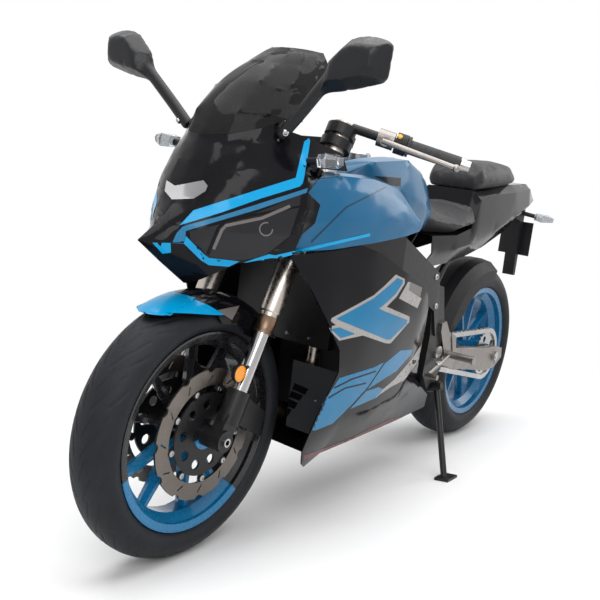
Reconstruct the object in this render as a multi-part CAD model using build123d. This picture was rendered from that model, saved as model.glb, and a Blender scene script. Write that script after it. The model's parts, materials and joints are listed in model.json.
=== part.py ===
from build123d import *
from math import asin, atan2, cos, degrees, hypot, pi, radians, sin, sqrt
import os

# A fully faired sport motorcycle, parked on its side stand, in millimetres.
# It is drawn upright, +X forward, +Y to the rider's left, from the ground under the rear axle.
# The last section leans it on the stand and moves the origin to the middle of its footprint.

# Driving sizes of the running gear
WHEELBASE = 1400.0
FRONT_TYRE_RADIUS = 300.0
FRONT_TYRE_WIDTH = 120.0
REAR_TYRE_RADIUS = 312.0
REAR_TYRE_WIDTH = 160.0
RIM_BEAD_RADIUS = 216.0
RIM_FLANGE_HEIGHT = 13.0
FRONT_RIM_WIDTH = 88.0
REAR_RIM_WIDTH = 120.0
RAKE = 24.5
TRAIL = 95.0
STEER_LIMIT = 27.0
LEAN = 8.5
STAND_FOLD = 95.0

# Driving sizes of the bodywork
SETBACK = 800.0
FAIRING_REAR = WHEELBASE - SETBACK
FAIRING_LENGTH = 1000.0
FAIRING_WIDTH = 500.0
FAIRING_FLOOR = 200.0
FAIRING_HEIGHT = 1000.0
PIVOT_BEHIND_FRONT_AXLE = 900.0
PIVOT_X = WHEELBASE - PIVOT_BEHIND_FRONT_AXLE
PIVOT_Z = 395.0
PANEL_WALL = 3.5
RUN_GAP = 0.05
SEAT_GAP = 0.3
OVERRUN = 500.0
PROBE_RADIUS = 1.0
UP = Vector(0, 0, 1)
LEFT = Vector(0, 1, 0)


# Helpers


def body(x_share, y_share, z_share):
    """A point of the bodywork, from shares of the fairing's length, width and height."""
    return Vector(
        FAIRING_REAR + x_share * FAIRING_LENGTH,
        y_share * FAIRING_WIDTH,
        FAIRING_FLOOR + z_share * FAIRING_HEIGHT,
    )


def prism(points, direction):
    """A solid swept from a closed flat outline along a vector."""
    return Solid.extrude(Face(Wire.make_polygon(points, close=True)), direction)


def side_prism(shares, low, high):
    """A prism of a side-view outline, given in body shares, between two values of Y."""
    points = []
    for x_share, z_share in shares:
        corner = body(x_share, 0, z_share)
        points.append(Vector(corner.X, low, corner.Z))
    return prism(points, LEFT * (high - low))


def mirrored(shape):
    """The same piece on the other side of the motorcycle."""
    return shape.mirror(Plane.XZ)


def pair(shape):
    """A left piece and its right twin, as separate solids."""
    return [*shape.solids(), *mirrored(shape).solids()]


def rod(start, end, radius):
    """A round bar from one point to another."""
    along = end - start
    return Solid.make_cylinder(radius, along.length, Plane(origin=start, z_dir=along))


def across(centre_x, centre_z, low, high, radius):
    """A round bar across the motorcycle between two values of Y."""
    return rod(Vector(centre_x, low, centre_z), Vector(centre_x, high, centre_z), radius)


def block(low, high):
    """A box between two corners."""
    size = high - low
    return Solid.make_box(size.X, size.Y, size.Z, Plane(origin=low))


def tube_along(points, radius, bend):
    """A round bar that follows straight runs with rounded corners."""
    path = FilletPolyline(*points, radius=bend)
    start = path @ 0
    ring = Plane(origin=start, z_dir=path % 0) * Circle(radius)
    return sweep(ring, path=path)


def hulls(sections):
    """A solid lofted straight from one closed outline to the next."""
    return Solid.make_loft([Wire.make_polygon(s, close=True) for s in sections], ruled=True)


def inward(points, wall):
    """An open flat line moved to its left by a wall, with mitred corners."""
    moved = []
    for index, (a, b) in enumerate(points):
        normals = []
        for first, second in ((index - 1, index), (index, index + 1)):
            if 0 <= first and second < len(points):
                da = points[second][0] - points[first][0]
                db = points[second][1] - points[first][1]
                run = hypot(da, db)
                normals.append((-db / run, da / run))
        na = sum(n[0] for n in normals)
        nb = sum(n[1] for n in normals)
        size = hypot(na, nb)
        na, nb = na / size, nb / size
        stretch = wall / (na * normals[0][0] + nb * normals[0][1])
        moved.append((a + na * stretch, b + nb * stretch))
    return moved


def skin_along_x(stations, wall, whole=False):
    """A thin panel through cross sections at several X. Each line runs with its inside on the left."""
    sections = []
    for x_share, line in stations:
        flat = [(body(0, y, 0).Y, body(0, 0, z).Z) for y, z in line]
        if whole:
            flat = flat + [(-y, z) for y, z in reversed(flat[:-1])]
        inner = inward(flat, wall)
        loop = flat + inner[::-1]
        sections.append([Vector(body(x_share, 0, 0).X, y, z) for y, z in loop])
    return hulls(sections)


def skin_along_z(levels, wall):
    """A thin symmetric hood through level outlines, each given from the nose back on the left side."""
    sections = []
    for z_share, line in levels:
        left = [(body(x, 0, 0).X, body(0, y, 0).Y) for x, y in line]
        flat = left[::-1] + [(x, -y) for x, y in left[1:]]
        inner = inward(flat, -wall)
        loop = flat + inner[::-1]
        sections.append([Vector(x, y, body(0, 0, z_share).Z) for x, y in loop])
    return hulls(sections)


def common(shapes, tool):
    """The solids of several pieces that lie inside a tool."""
    found = []
    for shape in shapes:
        piece = shape.intersect(tool)
        if piece is not None:
            found.extend(piece.solids())
    return found


def without(shapes, tool):
    """The solids left of several pieces when a tool is cut away."""
    found = []
    for shape in shapes:
        found.extend(shape.cut(tool).solids())
    return found


def seated(piece, *carriers):
    """A piece cut back to the faces of what carries it, keeping its largest part."""
    return ShapeList(piece.cut(*carriers).solids()).sort_by(SortBy.VOLUME)[-1]


def outer_y(shapes, x, z):
    """The outermost Y of some panels on the left, at one place in side view."""
    probe = across(x, z, 0, OVERRUN, PROBE_RADIUS)
    return max(s.bounding_box().max.Y for s in common(shapes, probe))


# Wheels, drawn about the Y axis at their own centre

TYRE_WALL = 9.0
BEAD_GAP = 0.3
CROWN_SHARE = 0.47
SHOULDER_DROP_SHARE = 0.40
BULGE_SHARE = 0.62
RIM_SHELL = 5.0
WELL_DEPTH = 18.0
WELL_HALF_SHARE = 0.22
HUB_RADIUS = 34.0
SPOKE_PAIRS = 5
SPOKE_SPREAD = 16.0
SPOKE_ROOT_SPREAD = 7.0
SPOKE_ROOT_WIDTH = 26.0
SPOKE_TIP_WIDTH = 19.0
SPOKE_ROOT_DEPTH = 40.0
SPOKE_TIP_DEPTH = 26.0
FRONT_SPOKE_ANGLE = -38.0
AXLE_RADIUS = 10.0


def turned_ring(points, arc=360.0):
    """A solid turned about the Y axis from an outline of radius and axial place."""
    for order in (points, points[::-1]):
        face = Face(Wire.make_polygon([Vector(r, y, 0) for r, y in order], close=True))
        ring = revolve(face, Axis.Y, arc)
        if ring.volume > 0:
            return ring


def tyre(radius, width):
    """A tyre with a round crown, hollow as the real one is, open towards the rim."""
    bead = RIM_BEAD_RADIUS + BEAD_GAP
    half = width / 2
    seat_half = half * 0.70
    shoulder_r = radius - half * SHOULDER_DROP_SHARE * 1.5
    shoulder_y = half * 0.985
    crown_r = radius - half * 0.16
    crown_y = half * 0.60
    side_r = (bead + shoulder_r) / 2
    outer = [
        Line((bead, seat_half), (bead + RIM_FLANGE_HEIGHT, seat_half)),
        ThreePointArc(
            (bead + RIM_FLANGE_HEIGHT, seat_half), (side_r, half * 0.965), (shoulder_r, shoulder_y)
        ),
        ThreePointArc((shoulder_r, shoulder_y), (crown_r, crown_y), (radius, 0)),
    ]
    upper = Wire(outer)
    inner = [
        Line((radius, 0), (radius - TYRE_WALL, 0)),
        ThreePointArc(
            (radius - TYRE_WALL, 0),
            (crown_r - TYRE_WALL * 0.9, crown_y - TYRE_WALL * 0.3),
            (shoulder_r - TYRE_WALL * 0.3, shoulder_y - TYRE_WALL * 0.95),
        ),
        Line(
            (shoulder_r - TYRE_WALL * 0.3, shoulder_y - TYRE_WALL * 0.95),
            (bead, seat_half - TYRE_WALL),
        ),
        Line((bead, seat_half - TYRE_WALL), (bead, seat_half)),
    ]
    half_face = Face(Wire([*upper.edges(), *inner]))
    half_ring = revolve(half_face, Axis.Y, 360)
    return half_ring.fuse(half_ring.mirror(Plane.XZ)).clean()


def rim(width, turn, hub_half, bore):
    """A cast rim with paired spokes that spread from the hub to the barrel."""
    half = width / 2
    flange_r = RIM_BEAD_RADIUS + RIM_FLANGE_HEIGHT
    well_r = RIM_BEAD_RADIUS - WELL_DEPTH
    well_half = half * WELL_HALF_SHARE * 2
    lip = RIM_SHELL * 1.2
    outer = [
        (flange_r, half + lip),
        (flange_r, half),
        (RIM_BEAD_RADIUS, half),
        (RIM_BEAD_RADIUS, well_half + WELL_DEPTH),
        (well_r, well_half),
    ]
    inner = [
        (well_r - RIM_SHELL, well_half),
        (RIM_BEAD_RADIUS - RIM_SHELL, well_half + WELL_DEPTH),
        (RIM_BEAD_RADIUS - RIM_SHELL, half + lip * 0.5),
        (flange_r - RIM_SHELL, half + lip),
    ]
    loop = outer + [(r, -y) for r, y in reversed(outer)] + [(r, -y) for r, y in inner[::-1]] + inner
    barrel = turned_ring(loop)
    wheel = barrel.fuse(across(0, 0, -hub_half, hub_half, HUB_RADIUS))
    reach = well_r - RIM_SHELL * 0.5
    for index in range(SPOKE_PAIRS):
        for sign in (-1, 1):
            middle = turn + index * 360 / SPOKE_PAIRS
            root = radians(middle + sign * SPOKE_ROOT_SPREAD)
            tip = radians(middle + sign * SPOKE_SPREAD)
            start = Vector(cos(root), 0, sin(root)) * (HUB_RADIUS * 0.7)
            end = Vector(cos(tip), 0, sin(tip)) * reach
            along = (end - start).normalized()
            side = along.cross(LEFT)
            sections = []
            for centre, wide, deep in (
                (start, SPOKE_ROOT_WIDTH, SPOKE_ROOT_DEPTH),
                (end, SPOKE_TIP_WIDTH, SPOKE_TIP_DEPTH),
            ):
                a = side * (wide / 2)
                b = LEFT * (deep / 2)
                c = side * (wide / 4)
                sections.append([centre - a, centre - c + b, centre + c + b, centre + a,
                                 centre + c - b, centre - c - b])
            wheel = wheel.fuse(hulls(sections))
    return wheel.cut(across(0, 0, -hub_half, hub_half, bore))


DISC_RADIUS = 150.0
DISC_INNER = 112.0
DISC_THICK = 5.0
DISC_SCALLOPS = 12
SCALLOP_RADIUS = 13.0
RIVETS = 9
RIVET_START = 28.0
RIVET_CIRCLE = 104.0
RIVET_RADIUS = 9.0
RIVET_GAP = 0.4
RIVET_PROUD = 1.0
CARRIER_THICK = 5.0
SLOT_SHARE = 0.5
SLOT_WIDTH = 3.5
SLOT_ANGLE = -35.0


def rotor(disc_radius, inner_radius, y):
    """A wave-edged brake rotor with a scalloped rim, slots and notches for its rivets."""
    low, high = y - DISC_THICK / 2, y + DISC_THICK / 2
    disc = across(0, 0, low, high, disc_radius).cut(across(0, 0, low, high, inner_radius))
    rivet_circle = RIVET_CIRCLE * inner_radius / DISC_INNER
    edge = disc_radius + SCALLOP_RADIUS * 0.45
    middle = (disc_radius + inner_radius) / 2 - SLOT_WIDTH
    half = SLOT_SHARE * (disc_radius - inner_radius) / 2
    slot = block(Vector(-half, low, -SLOT_WIDTH / 2), Vector(half, high, SLOT_WIDTH / 2))
    slot = slot.moved(Location((middle, 0, 0), (0, SLOT_ANGLE, 0)))
    cutters = []
    for index in range(DISC_SCALLOPS):
        angle = 2 * pi * index / DISC_SCALLOPS
        cutters.append(across(edge * cos(angle), edge * sin(angle), low, high, SCALLOP_RADIUS))
        cutters.append(slot.moved(Location((0, 0, 0), (0, -degrees(angle), 0))))
    for index in range(RIVETS):
        angle = radians(RIVET_START + index * 360 / RIVETS)
        cutters.append(
            across(rivet_circle * cos(angle), rivet_circle * sin(angle), low, high, RIVET_RADIUS + RIVET_GAP)
        )
    return disc.cut(*cutters)


def carrier(inner_radius, y, hole):
    """A brake disc carrier: a ring round the hub with an arm and a rivet at each rotor notch."""
    low, high = y - CARRIER_THICK / 2, y + CARRIER_THICK / 2
    rivet_circle = RIVET_CIRCLE * inner_radius / DISC_INNER
    middle = (rivet_circle + hole) / 2
    plate = across(0, 0, low, high, rivet_circle - RIVET_RADIUS)
    windows = []
    for index in range(RIVETS):
        angle = radians(RIVET_START + index * 360 / RIVETS)
        x, z = rivet_circle * cos(angle), rivet_circle * sin(angle)
        plate = plate.fuse(across(x, z, low - RIVET_PROUD, high + RIVET_PROUD, RIVET_RADIUS))
        between = radians(RIVET_START + (index + 0.5) * 360 / RIVETS)
        windows.append(across(middle * cos(between), middle * sin(between), low, high, RIVET_RADIUS * 1.3))
    return plate.cut(across(0, 0, low, high, hole), *windows)


FRONT_HUB_HALF = 66.0
FRONT_DISC_Y = 61.0
FRONT_AXLE = Vector(WHEELBASE, 0, FRONT_TYRE_RADIUS)
REAR_AXLE = Vector(0, 0, REAR_TYRE_RADIUS)
REAR_DISC_RADIUS = 110.0
REAR_DISC_INNER = 78.0
REAR_DISC_Y = -99.0
REAR_SPOKE_ANGLE = 90.0
HUB_PROUD = 1.0
REAR_HUB_REACH = abs(REAR_DISC_Y) + CARRIER_THICK / 2 + HUB_PROUD
SPROCKET_Y = 99.0
SPROCKET_THICK = 6.0
SPROCKET_WINDOWS = 5
SPROCKET_WINDOW_RADIUS = 11.0


def at_front(shape):
    return shape.moved(Location(FRONT_AXLE))


def at_rear(shape):
    return shape.moved(Location(REAR_AXLE))


def front_wheel_parts():
    discs = [rotor(DISC_RADIUS, DISC_INNER, side * FRONT_DISC_Y) for side in (-1, 1)]
    carriers = [carrier(DISC_INNER, side * FRONT_DISC_Y, HUB_RADIUS + SEAT_GAP) for side in (-1, 1)]
    return {
        "front_tyre": [at_front(tyre(FRONT_TYRE_RADIUS, FRONT_TYRE_WIDTH))],
        "front_rim": [
            at_front(rim(FRONT_RIM_WIDTH, FRONT_SPOKE_ANGLE, FRONT_HUB_HALF, AXLE_RADIUS + RUN_GAP))
        ],
        "front_disc_rotors": [at_front(d) for d in discs],
        "front_disc_carriers": [at_front(c) for c in carriers],
    }


# Final drive: rear sprocket, front sprocket place, chain loop

CHAIN_PITCH_RADIUS = 84.0
FRONT_SPROCKET_RADIUS = 34.0
FRONT_SPROCKET_AHEAD = 62.0
FRONT_SPROCKET_DROP = 4.0
FRONT_SPROCKET_X = PIVOT_X + FRONT_SPROCKET_AHEAD
FRONT_SPROCKET_Z = PIVOT_Z - FRONT_SPROCKET_DROP
CHAIN_ROLLER = 5.0
CHAIN_PLATE_HALF = 8.0
CHAIN_WIDTH = 17.0
CHAIN_PLATE = 4.0
CHAIN_PITCH = 31.75
SPROCKET_TEETH = 30
TOOTH_GAP = 1.2


def sprocket():
    """The rear sprocket: shallow teeth inside the chain, and round windows."""
    tip = CHAIN_PITCH_RADIUS - CHAIN_ROLLER - TOOTH_GAP
    half = SPROCKET_THICK / 2
    low, high = SPROCKET_Y - half, SPROCKET_Y + half
    disc = across(0, 0, low, high, tip)
    cutters = [across(0, 0, low, high, HUB_RADIUS + SEAT_GAP)]
    tooth_gap_radius = 2 * pi * tip / SPROCKET_TEETH / 4
    for index in range(SPROCKET_TEETH):
        angle = 2 * pi * index / SPROCKET_TEETH
        cutters.append(across(tip * cos(angle), tip * sin(angle), low, high, tooth_gap_radius))
    middle = (tip + HUB_RADIUS) / 2
    for index in range(SPROCKET_WINDOWS):
        angle = 2 * pi * index / SPROCKET_WINDOWS
        cutters.append(across(middle * cos(angle), middle * sin(angle), low, high, SPROCKET_WINDOW_RADIUS))
    return disc.cut(*cutters)


def loop_outline(offset):
    """The closed chain line round both sprockets, at an offset from the pitch line, as (x, z) points."""
    distance = hypot(FRONT_SPROCKET_X - REAR_AXLE.X, FRONT_SPROCKET_Z - REAR_AXLE.Z)
    slope = atan2(FRONT_SPROCKET_Z - REAR_AXLE.Z, FRONT_SPROCKET_X - REAR_AXLE.X)
    lift = asin((CHAIN_PITCH_RADIUS - FRONT_SPROCKET_RADIUS) / distance)
    big = CHAIN_PITCH_RADIUS + offset
    small = FRONT_SPROCKET_RADIUS + offset
    top = slope + pi / 2 - lift
    bottom = slope - pi / 2 + lift

    def on(centre_x, centre_z, radius, angle):
        return Vector(centre_x + radius * cos(angle), 0, centre_z + radius * sin(angle))

    rear = (REAR_AXLE.X, REAR_AXLE.Z, big)
    front = (FRONT_SPROCKET_X, FRONT_SPROCKET_Z, small)
    return Wire(
        [
            ThreePointArc(on(*rear, top), on(*rear, slope + pi), on(*rear, bottom)),
            Line(on(*rear, bottom), on(*front, bottom)),
            ThreePointArc(on(*front, bottom), on(*front, slope), on(*front, top)),
            Line(on(*front, top), on(*rear, top)),
        ]
    )


def chain():
    """The drive chain as one loop: two rows of plates joined by rollers that lie outside the teeth."""
    outer = Face(loop_outline(CHAIN_PLATE_HALF))
    inner = Face(loop_outline(-CHAIN_PLATE_HALF))
    band = outer - inner
    path = loop_outline(0)
    plates = []
    for side in (-1, 1):
        y = SPROCKET_Y + side * (CHAIN_WIDTH / 2 - CHAIN_PLATE / 2)
        plates.append(Solid.extrude(band, LEFT * CHAIN_PLATE).moved(Location((0, y - CHAIN_PLATE / 2, 0))))
    count = int(path.length / CHAIN_PITCH)
    joined = plates[0]
    pins = []
    for index in range(count):
        place = path.position_at(index / count)
        pins.append(
            across(place.X, place.Z, SPROCKET_Y - CHAIN_WIDTH / 2, SPROCKET_Y + CHAIN_WIDTH / 2, CHAIN_ROLLER)
        )
    return joined.fuse(plates[1], *pins)


def rear_wheel_parts():
    disc = rotor(REAR_DISC_RADIUS, REAR_DISC_INNER, REAR_DISC_Y)
    middle = carrier(REAR_DISC_INNER, REAR_DISC_Y, HUB_RADIUS + SEAT_GAP)
    wheel = rim(REAR_RIM_WIDTH, REAR_SPOKE_ANGLE, REAR_HUB_REACH, AXLE_RADIUS + RUN_GAP)
    return {
        "rear_tyre": [at_rear(tyre(REAR_TYRE_RADIUS, REAR_TYRE_WIDTH))],
        "rear_rim": [at_rear(wheel)],
        "rear_disc": [at_rear(disc), at_rear(middle)],
        "rear_sprocket": [at_rear(sprocket())],
    }


# Steering, drawn in its own frame: the steering axis is Z, X is forward, the origin is on the ground

STEER = Location((WHEELBASE + TRAIL, 0, 0), (0, -RAKE, 0))
AXLE_LEAD_X = -TRAIL * cos(radians(RAKE)) + FRONT_TYRE_RADIUS * sin(radians(RAKE))
AXLE_HEIGHT = TRAIL * sin(radians(RAKE)) + FRONT_TYRE_RADIUS * cos(radians(RAKE))
CLAMP_OFFSET = 28.0
FORK_HALF = 102.0
INNER_RADIUS = 18.5
OUTER_RADIUS = 26.0
OUTER_TIP_RADIUS = 22.0
COLLAR_RADIUS = 23.0
SEAL_HEIGHT = 566.0
COLLAR_LENGTH = 40.0
TIP_LENGTH = 8.0
CONE_START = 12.0
CONE_EASE = 1.0
CONE_LENGTH = 70.0
INNER_TOP = 760.0
FOOT_TOP = 428.0
FOOT_RADIUS = 27.0
LOWER_CLAMP = 800.0
TOP_CLAMP = 1030.0
CLAMP_THICK = 30.0
TOP_THICK = 22.0
STEM_RADIUS = 15.0
STEM_BORE = 7.0
CLIP_RISE = 10.0
CLIP_HEIGHT = TOP_CLAMP + TOP_THICK + CLIP_RISE
CLIP_THICK = 26.0
FORK_STANDOUT = 8.0
FORK_TOP = CLIP_HEIGHT + CLIP_THICK + FORK_STANDOUT
BAR_RADIUS = 11.0
GRIP_RADIUS = 17.0


def steered(shape):
    return shape.moved(STEER)


def steer_point(x, y, z):
    """A point of the steering frame, in the frame of the motorcycle."""
    tilt = radians(RAKE)
    return Vector(
        WHEELBASE + TRAIL + x * cos(tilt) - z * sin(tilt),
        y,
        x * sin(tilt) + z * cos(tilt),
    )


def fork_leg(side):
    """The outer tube, inner tube and foot of one leg of the upside-down fork."""
    bottom = Vector(CLAMP_OFFSET, side * FORK_HALF, 0)
    collar_top = SEAL_HEIGHT + COLLAR_LENGTH
    profile = [
        Vector(INNER_RADIUS + SEAT_GAP, 0, SEAL_HEIGHT),
        Vector(COLLAR_RADIUS, 0, SEAL_HEIGHT),
        Vector(COLLAR_RADIUS, 0, collar_top),
        Vector(OUTER_TIP_RADIUS, 0, collar_top),
        Vector(OUTER_TIP_RADIUS, 0, collar_top + TIP_LENGTH),
        Vector(OUTER_RADIUS - CONE_EASE, 0, collar_top + CONE_START),
        Vector(OUTER_RADIUS, 0, collar_top + CONE_LENGTH),
        Vector(OUTER_RADIUS, 0, FORK_TOP),
        Vector(INNER_RADIUS + SEAT_GAP, 0, FORK_TOP),
    ]
    outer = revolve(Face(Wire.make_polygon(profile, close=True)), Axis.Z, 360)
    outer = outer.moved(Location(bottom))
    inner = rod(bottom + UP * FOOT_TOP, bottom + UP * INNER_TOP, INNER_RADIUS)
    return steered(outer), steered(inner)


CALIPER_HALF = 23.0
CALIPER_SLOT = 4.0
CALIPER_LENGTH = 106.0
CALIPER_HEIGHT = 62.0
CALIPER_CHAMFER = 8.0
CALIPER_TURN = 158.0
CALIPER_CIRCLE = 128.0
CALIPER_RELIEF = 5.0
CALIPER_BOSS = 5.0
PISTON_RADIUS = 16.0


def caliper(side):
    """A caliper over the rotor's rear edge, with a slot that the rotor turns in."""
    y = side * FRONT_DISC_Y
    shell = block(
        Vector(-CALIPER_HEIGHT / 2, y - CALIPER_HALF, -CALIPER_LENGTH / 2),
        Vector(CALIPER_HEIGHT / 2, y + CALIPER_HALF, CALIPER_LENGTH / 2),
    )
    long_edges = [e for e in shell.edges() if abs(e.tangent_at(0).Y) > 0.9]
    shell = shell.chamfer(CALIPER_CHAMFER, None, long_edges)
    shell = shell.moved(Location((CALIPER_CIRCLE, 0, 0)))
    slot_half = (DISC_THICK + CALIPER_SLOT) / 2
    shell = shell.cut(across(0, 0, y - slot_half, y + slot_half, DISC_RADIUS + CALIPER_RELIEF))
    low, high = sorted((y + side * CALIPER_HALF, y + side * (CALIPER_HALF + CALIPER_BOSS)))
    for step in (-1, 1):
        shell = shell.fuse(across(CALIPER_CIRCLE, step * CALIPER_LENGTH / 5, low, high, PISTON_RADIUS))
    return at_front(shell.moved(Location((0, 0, 0), (0, -CALIPER_TURN, 0))))


SOCKET_LIFT = 40.0
AXLE_BOSS_RADIUS = 24.0
AXLE_BOSS_REACH = 22.0
WEB_HALF = 15.0
WEB_TOP = 60.0
WEB_FOOT_HALF = 20.0
WEB_DROP = 8.0
LUG_OUT = 6.0
# the caliper lug in side view, from the leg's axis at axle height, in shares of the caliper's circle
LUG_SHARES = ((0.0, 0.90), (-0.875, 0.75), (-0.984, 0.31), (0.0, 0.39))


def fork_foot(side):
    """The axle foot under one fork leg, with a lug that reaches back to its caliper."""
    y = side * FORK_HALF
    bottom = Vector(CLAMP_OFFSET, y, 0)
    socket = rod(bottom + UP * (AXLE_HEIGHT + SOCKET_LIFT), bottom + UP * FOOT_TOP, FOOT_RADIUS)
    low, high = sorted((side * (FRONT_HUB_HALF + SEAT_GAP), side * (FORK_HALF + AXLE_BOSS_REACH)))
    boss = across(AXLE_LEAD_X, AXLE_HEIGHT, low, high, AXLE_BOSS_RADIUS)
    web_wide = FOOT_RADIUS * 0.9
    web = prism(
        [
            Vector(CLAMP_OFFSET - web_wide, y - WEB_HALF, AXLE_HEIGHT + WEB_TOP),
            Vector(CLAMP_OFFSET + web_wide, y - WEB_HALF, AXLE_HEIGHT + WEB_TOP),
            Vector(AXLE_LEAD_X + WEB_FOOT_HALF, y - WEB_HALF, AXLE_HEIGHT - WEB_DROP),
            Vector(AXLE_LEAD_X - WEB_FOOT_HALF, y - WEB_HALF, AXLE_HEIGHT - WEB_DROP),
        ],
        LEFT * (2 * WEB_HALF),
    )
    lug_face = FRONT_DISC_Y + CALIPER_HALF + CALIPER_BOSS + SEAT_GAP
    lug_low, lug_high = sorted((side * lug_face, side * (FORK_HALF + LUG_OUT)))
    lug = prism(
        [
            Vector(CLAMP_OFFSET + x * CALIPER_CIRCLE, lug_low, AXLE_HEIGHT + z * CALIPER_CIRCLE)
            for x, z in LUG_SHARES
        ],
        LEFT * (lug_high - lug_low),
    )
    hole = across(AXLE_LEAD_X, AXLE_HEIGHT, low, high, AXLE_RADIUS + RUN_GAP)
    return steered(socket.fuse(boss, web, lug).cut(hole))


EYE_WALL = 12.0
LOWER_CLAMP_REACH = 22.0
TOP_CLAMP_REACH = 16.0


def clamp_plate(height, thick, front_reach):
    """A triple clamp: two eyes round the legs joined by a waisted plate."""
    eye = OUTER_RADIUS + EYE_WALL
    waist = STEM_RADIUS + EYE_WALL
    back = CLAMP_OFFSET - eye * 0.8
    front = CLAMP_OFFSET + front_reach
    points = []
    for x, y in (
        (back, FORK_HALF), (-waist, waist), (-waist, -waist), (back, -FORK_HALF),
        (front, -FORK_HALF), (CLAMP_OFFSET + front_reach * 0.6, 0), (front, FORK_HALF),
    ):
        points.append(Vector(x, y, height))
    plate = prism(points, UP * thick)
    holes = []
    for side in (-1, 1):
        at = Vector(CLAMP_OFFSET, side * FORK_HALF, height)
        plate = plate.fuse(rod(at, at + UP * thick, eye))
        holes.append(rod(at, at + UP * thick, OUTER_RADIUS + SEAT_GAP / 3))
    return plate.cut(*holes)


def triple_clamps():
    """Lower clamp with the hollow stem in one piece, and the top clamp seated on the stem."""
    foot = Vector(0, 0, LOWER_CLAMP)
    top_face = Vector(0, 0, TOP_CLAMP + TOP_THICK)
    lower = clamp_plate(LOWER_CLAMP, CLAMP_THICK, LOWER_CLAMP_REACH)
    lower = lower.fuse(rod(foot, top_face, STEM_RADIUS))
    lower = lower.cut(rod(foot, top_face, STEM_BORE))
    top = clamp_plate(TOP_CLAMP, TOP_THICK, TOP_CLAMP_REACH)
    top = top.cut(rod(Vector(0, 0, TOP_CLAMP), top_face, STEM_RADIUS))
    return [steered(lower), steered(top)]


# The clip-on bars lie square to the fork, above their clamps, and sweep back to their ends
BAR_BACK = 8.0
BAR_OUT = 24.0
BAR_LIFT = 31.0
BAR_SWEEP = 136.5
BAR_SPAN = 246.0
BAR_ROOT = steer_point(CLAMP_OFFSET - BAR_BACK, FORK_HALF + BAR_OUT, CLIP_HEIGHT + BAR_LIFT)
BAR_END = steer_point(
    CLAMP_OFFSET - BAR_BACK - BAR_SWEEP, FORK_HALF + BAR_OUT + BAR_SPAN, CLIP_HEIGHT + BAR_LIFT
)
BAR_ALONG = (BAR_END - BAR_ROOT).normalized()
BAR_AHEAD = Vector(BAR_ALONG.Y, -BAR_ALONG.X, 0).normalized()
CLIP_WALL = 10.0
EAR_REACH = 26.0
EAR_SINK = 4.0
EAR_HALF = 11.0


def bar_point(share):
    """A point on the left bar's axis, from its root at 0 to its end at 1."""
    return BAR_ROOT + (BAR_END - BAR_ROOT) * share


def bar_sleeve(start_share, end_share, radius):
    """A round sleeve that slides onto the bar between two shares of its length."""
    start, end = bar_point(start_share), bar_point(end_share)
    return rod(start, end, radius).cut(rod(start - BAR_ALONG, end + BAR_ALONG, BAR_RADIUS + RUN_GAP))


def handlebars():
    """Two clip-on bars, each with a split clamp round its fork tube."""
    at = Vector(CLAMP_OFFSET, FORK_HALF, CLIP_HEIGHT)
    ring = rod(at, at + UP * CLIP_THICK, OUTER_RADIUS + CLIP_WALL)
    ear = block(
        at + Vector(-OUTER_RADIUS - EAR_REACH, -EAR_HALF, 0),
        at + Vector(-OUTER_RADIUS + EAR_SINK, EAR_HALF, CLIP_THICK),
    )
    tube_room = steered(rod(at - UP * OVERRUN, at + UP * OVERRUN, OUTER_RADIUS + SEAT_GAP / 3))
    bar = rod(bar_point(-0.08), bar_point(0.965), BAR_RADIUS)
    return pair(steered(ring.fuse(ear)).fuse(bar).cut(tube_room))


GRIP_FLANGE_LENGTH = 6.0
GRIP_FLANGE_HEIGHT = 7.0
WEIGHT_STEP = 1.0
PLUG_STEP = 3.0
PLUG_LENGTH = 4.0


def grips():
    """Rubber grips with a flange at their inner ends."""
    start = bar_point(0.475)
    flange = rod(start, start + BAR_ALONG * GRIP_FLANGE_LENGTH, GRIP_RADIUS + GRIP_FLANGE_HEIGHT)
    flange = flange.cut(rod(start - BAR_ALONG, bar_point(0.6), BAR_RADIUS + RUN_GAP))
    return pair(bar_sleeve(0.475, 0.93, GRIP_RADIUS).fuse(flange))


def bar_weights():
    """Metal weights at the bar ends."""
    ring = rod(bar_point(0.935), bar_point(0.97), GRIP_RADIUS - WEIGHT_STEP)
    ring = ring.cut(rod(bar_point(0.9), bar_point(0.965), BAR_RADIUS + RUN_GAP))
    plug = rod(bar_point(0.97), bar_point(1.0) + BAR_ALONG * PLUG_LENGTH, GRIP_RADIUS - PLUG_STEP)
    return pair(ring.fuse(plug))


PERCH_WALL = 4.0
LEVER_AHEAD = 62.0
LEVER_FLARE = 8.0
LEVER_SINK = 3.0
LEVER_DROP = 6.0
LEVER_TIP_DROP = 12.0
LEVER_ARM_RADIUS = 11.0
BLADE_RADIUS = 6.5
BLADE_BALL_RADIUS = 9.0
POD_WALL = 8.0
CUP_AHEAD = 34.0
CUP_LIFT = 14.0
CUP_HEIGHT = 34.0
CUP_RADIUS = 20.0
CUP_STALK_RADIUS = 7.0
CUP_STALK_AHEAD = 28.0


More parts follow.
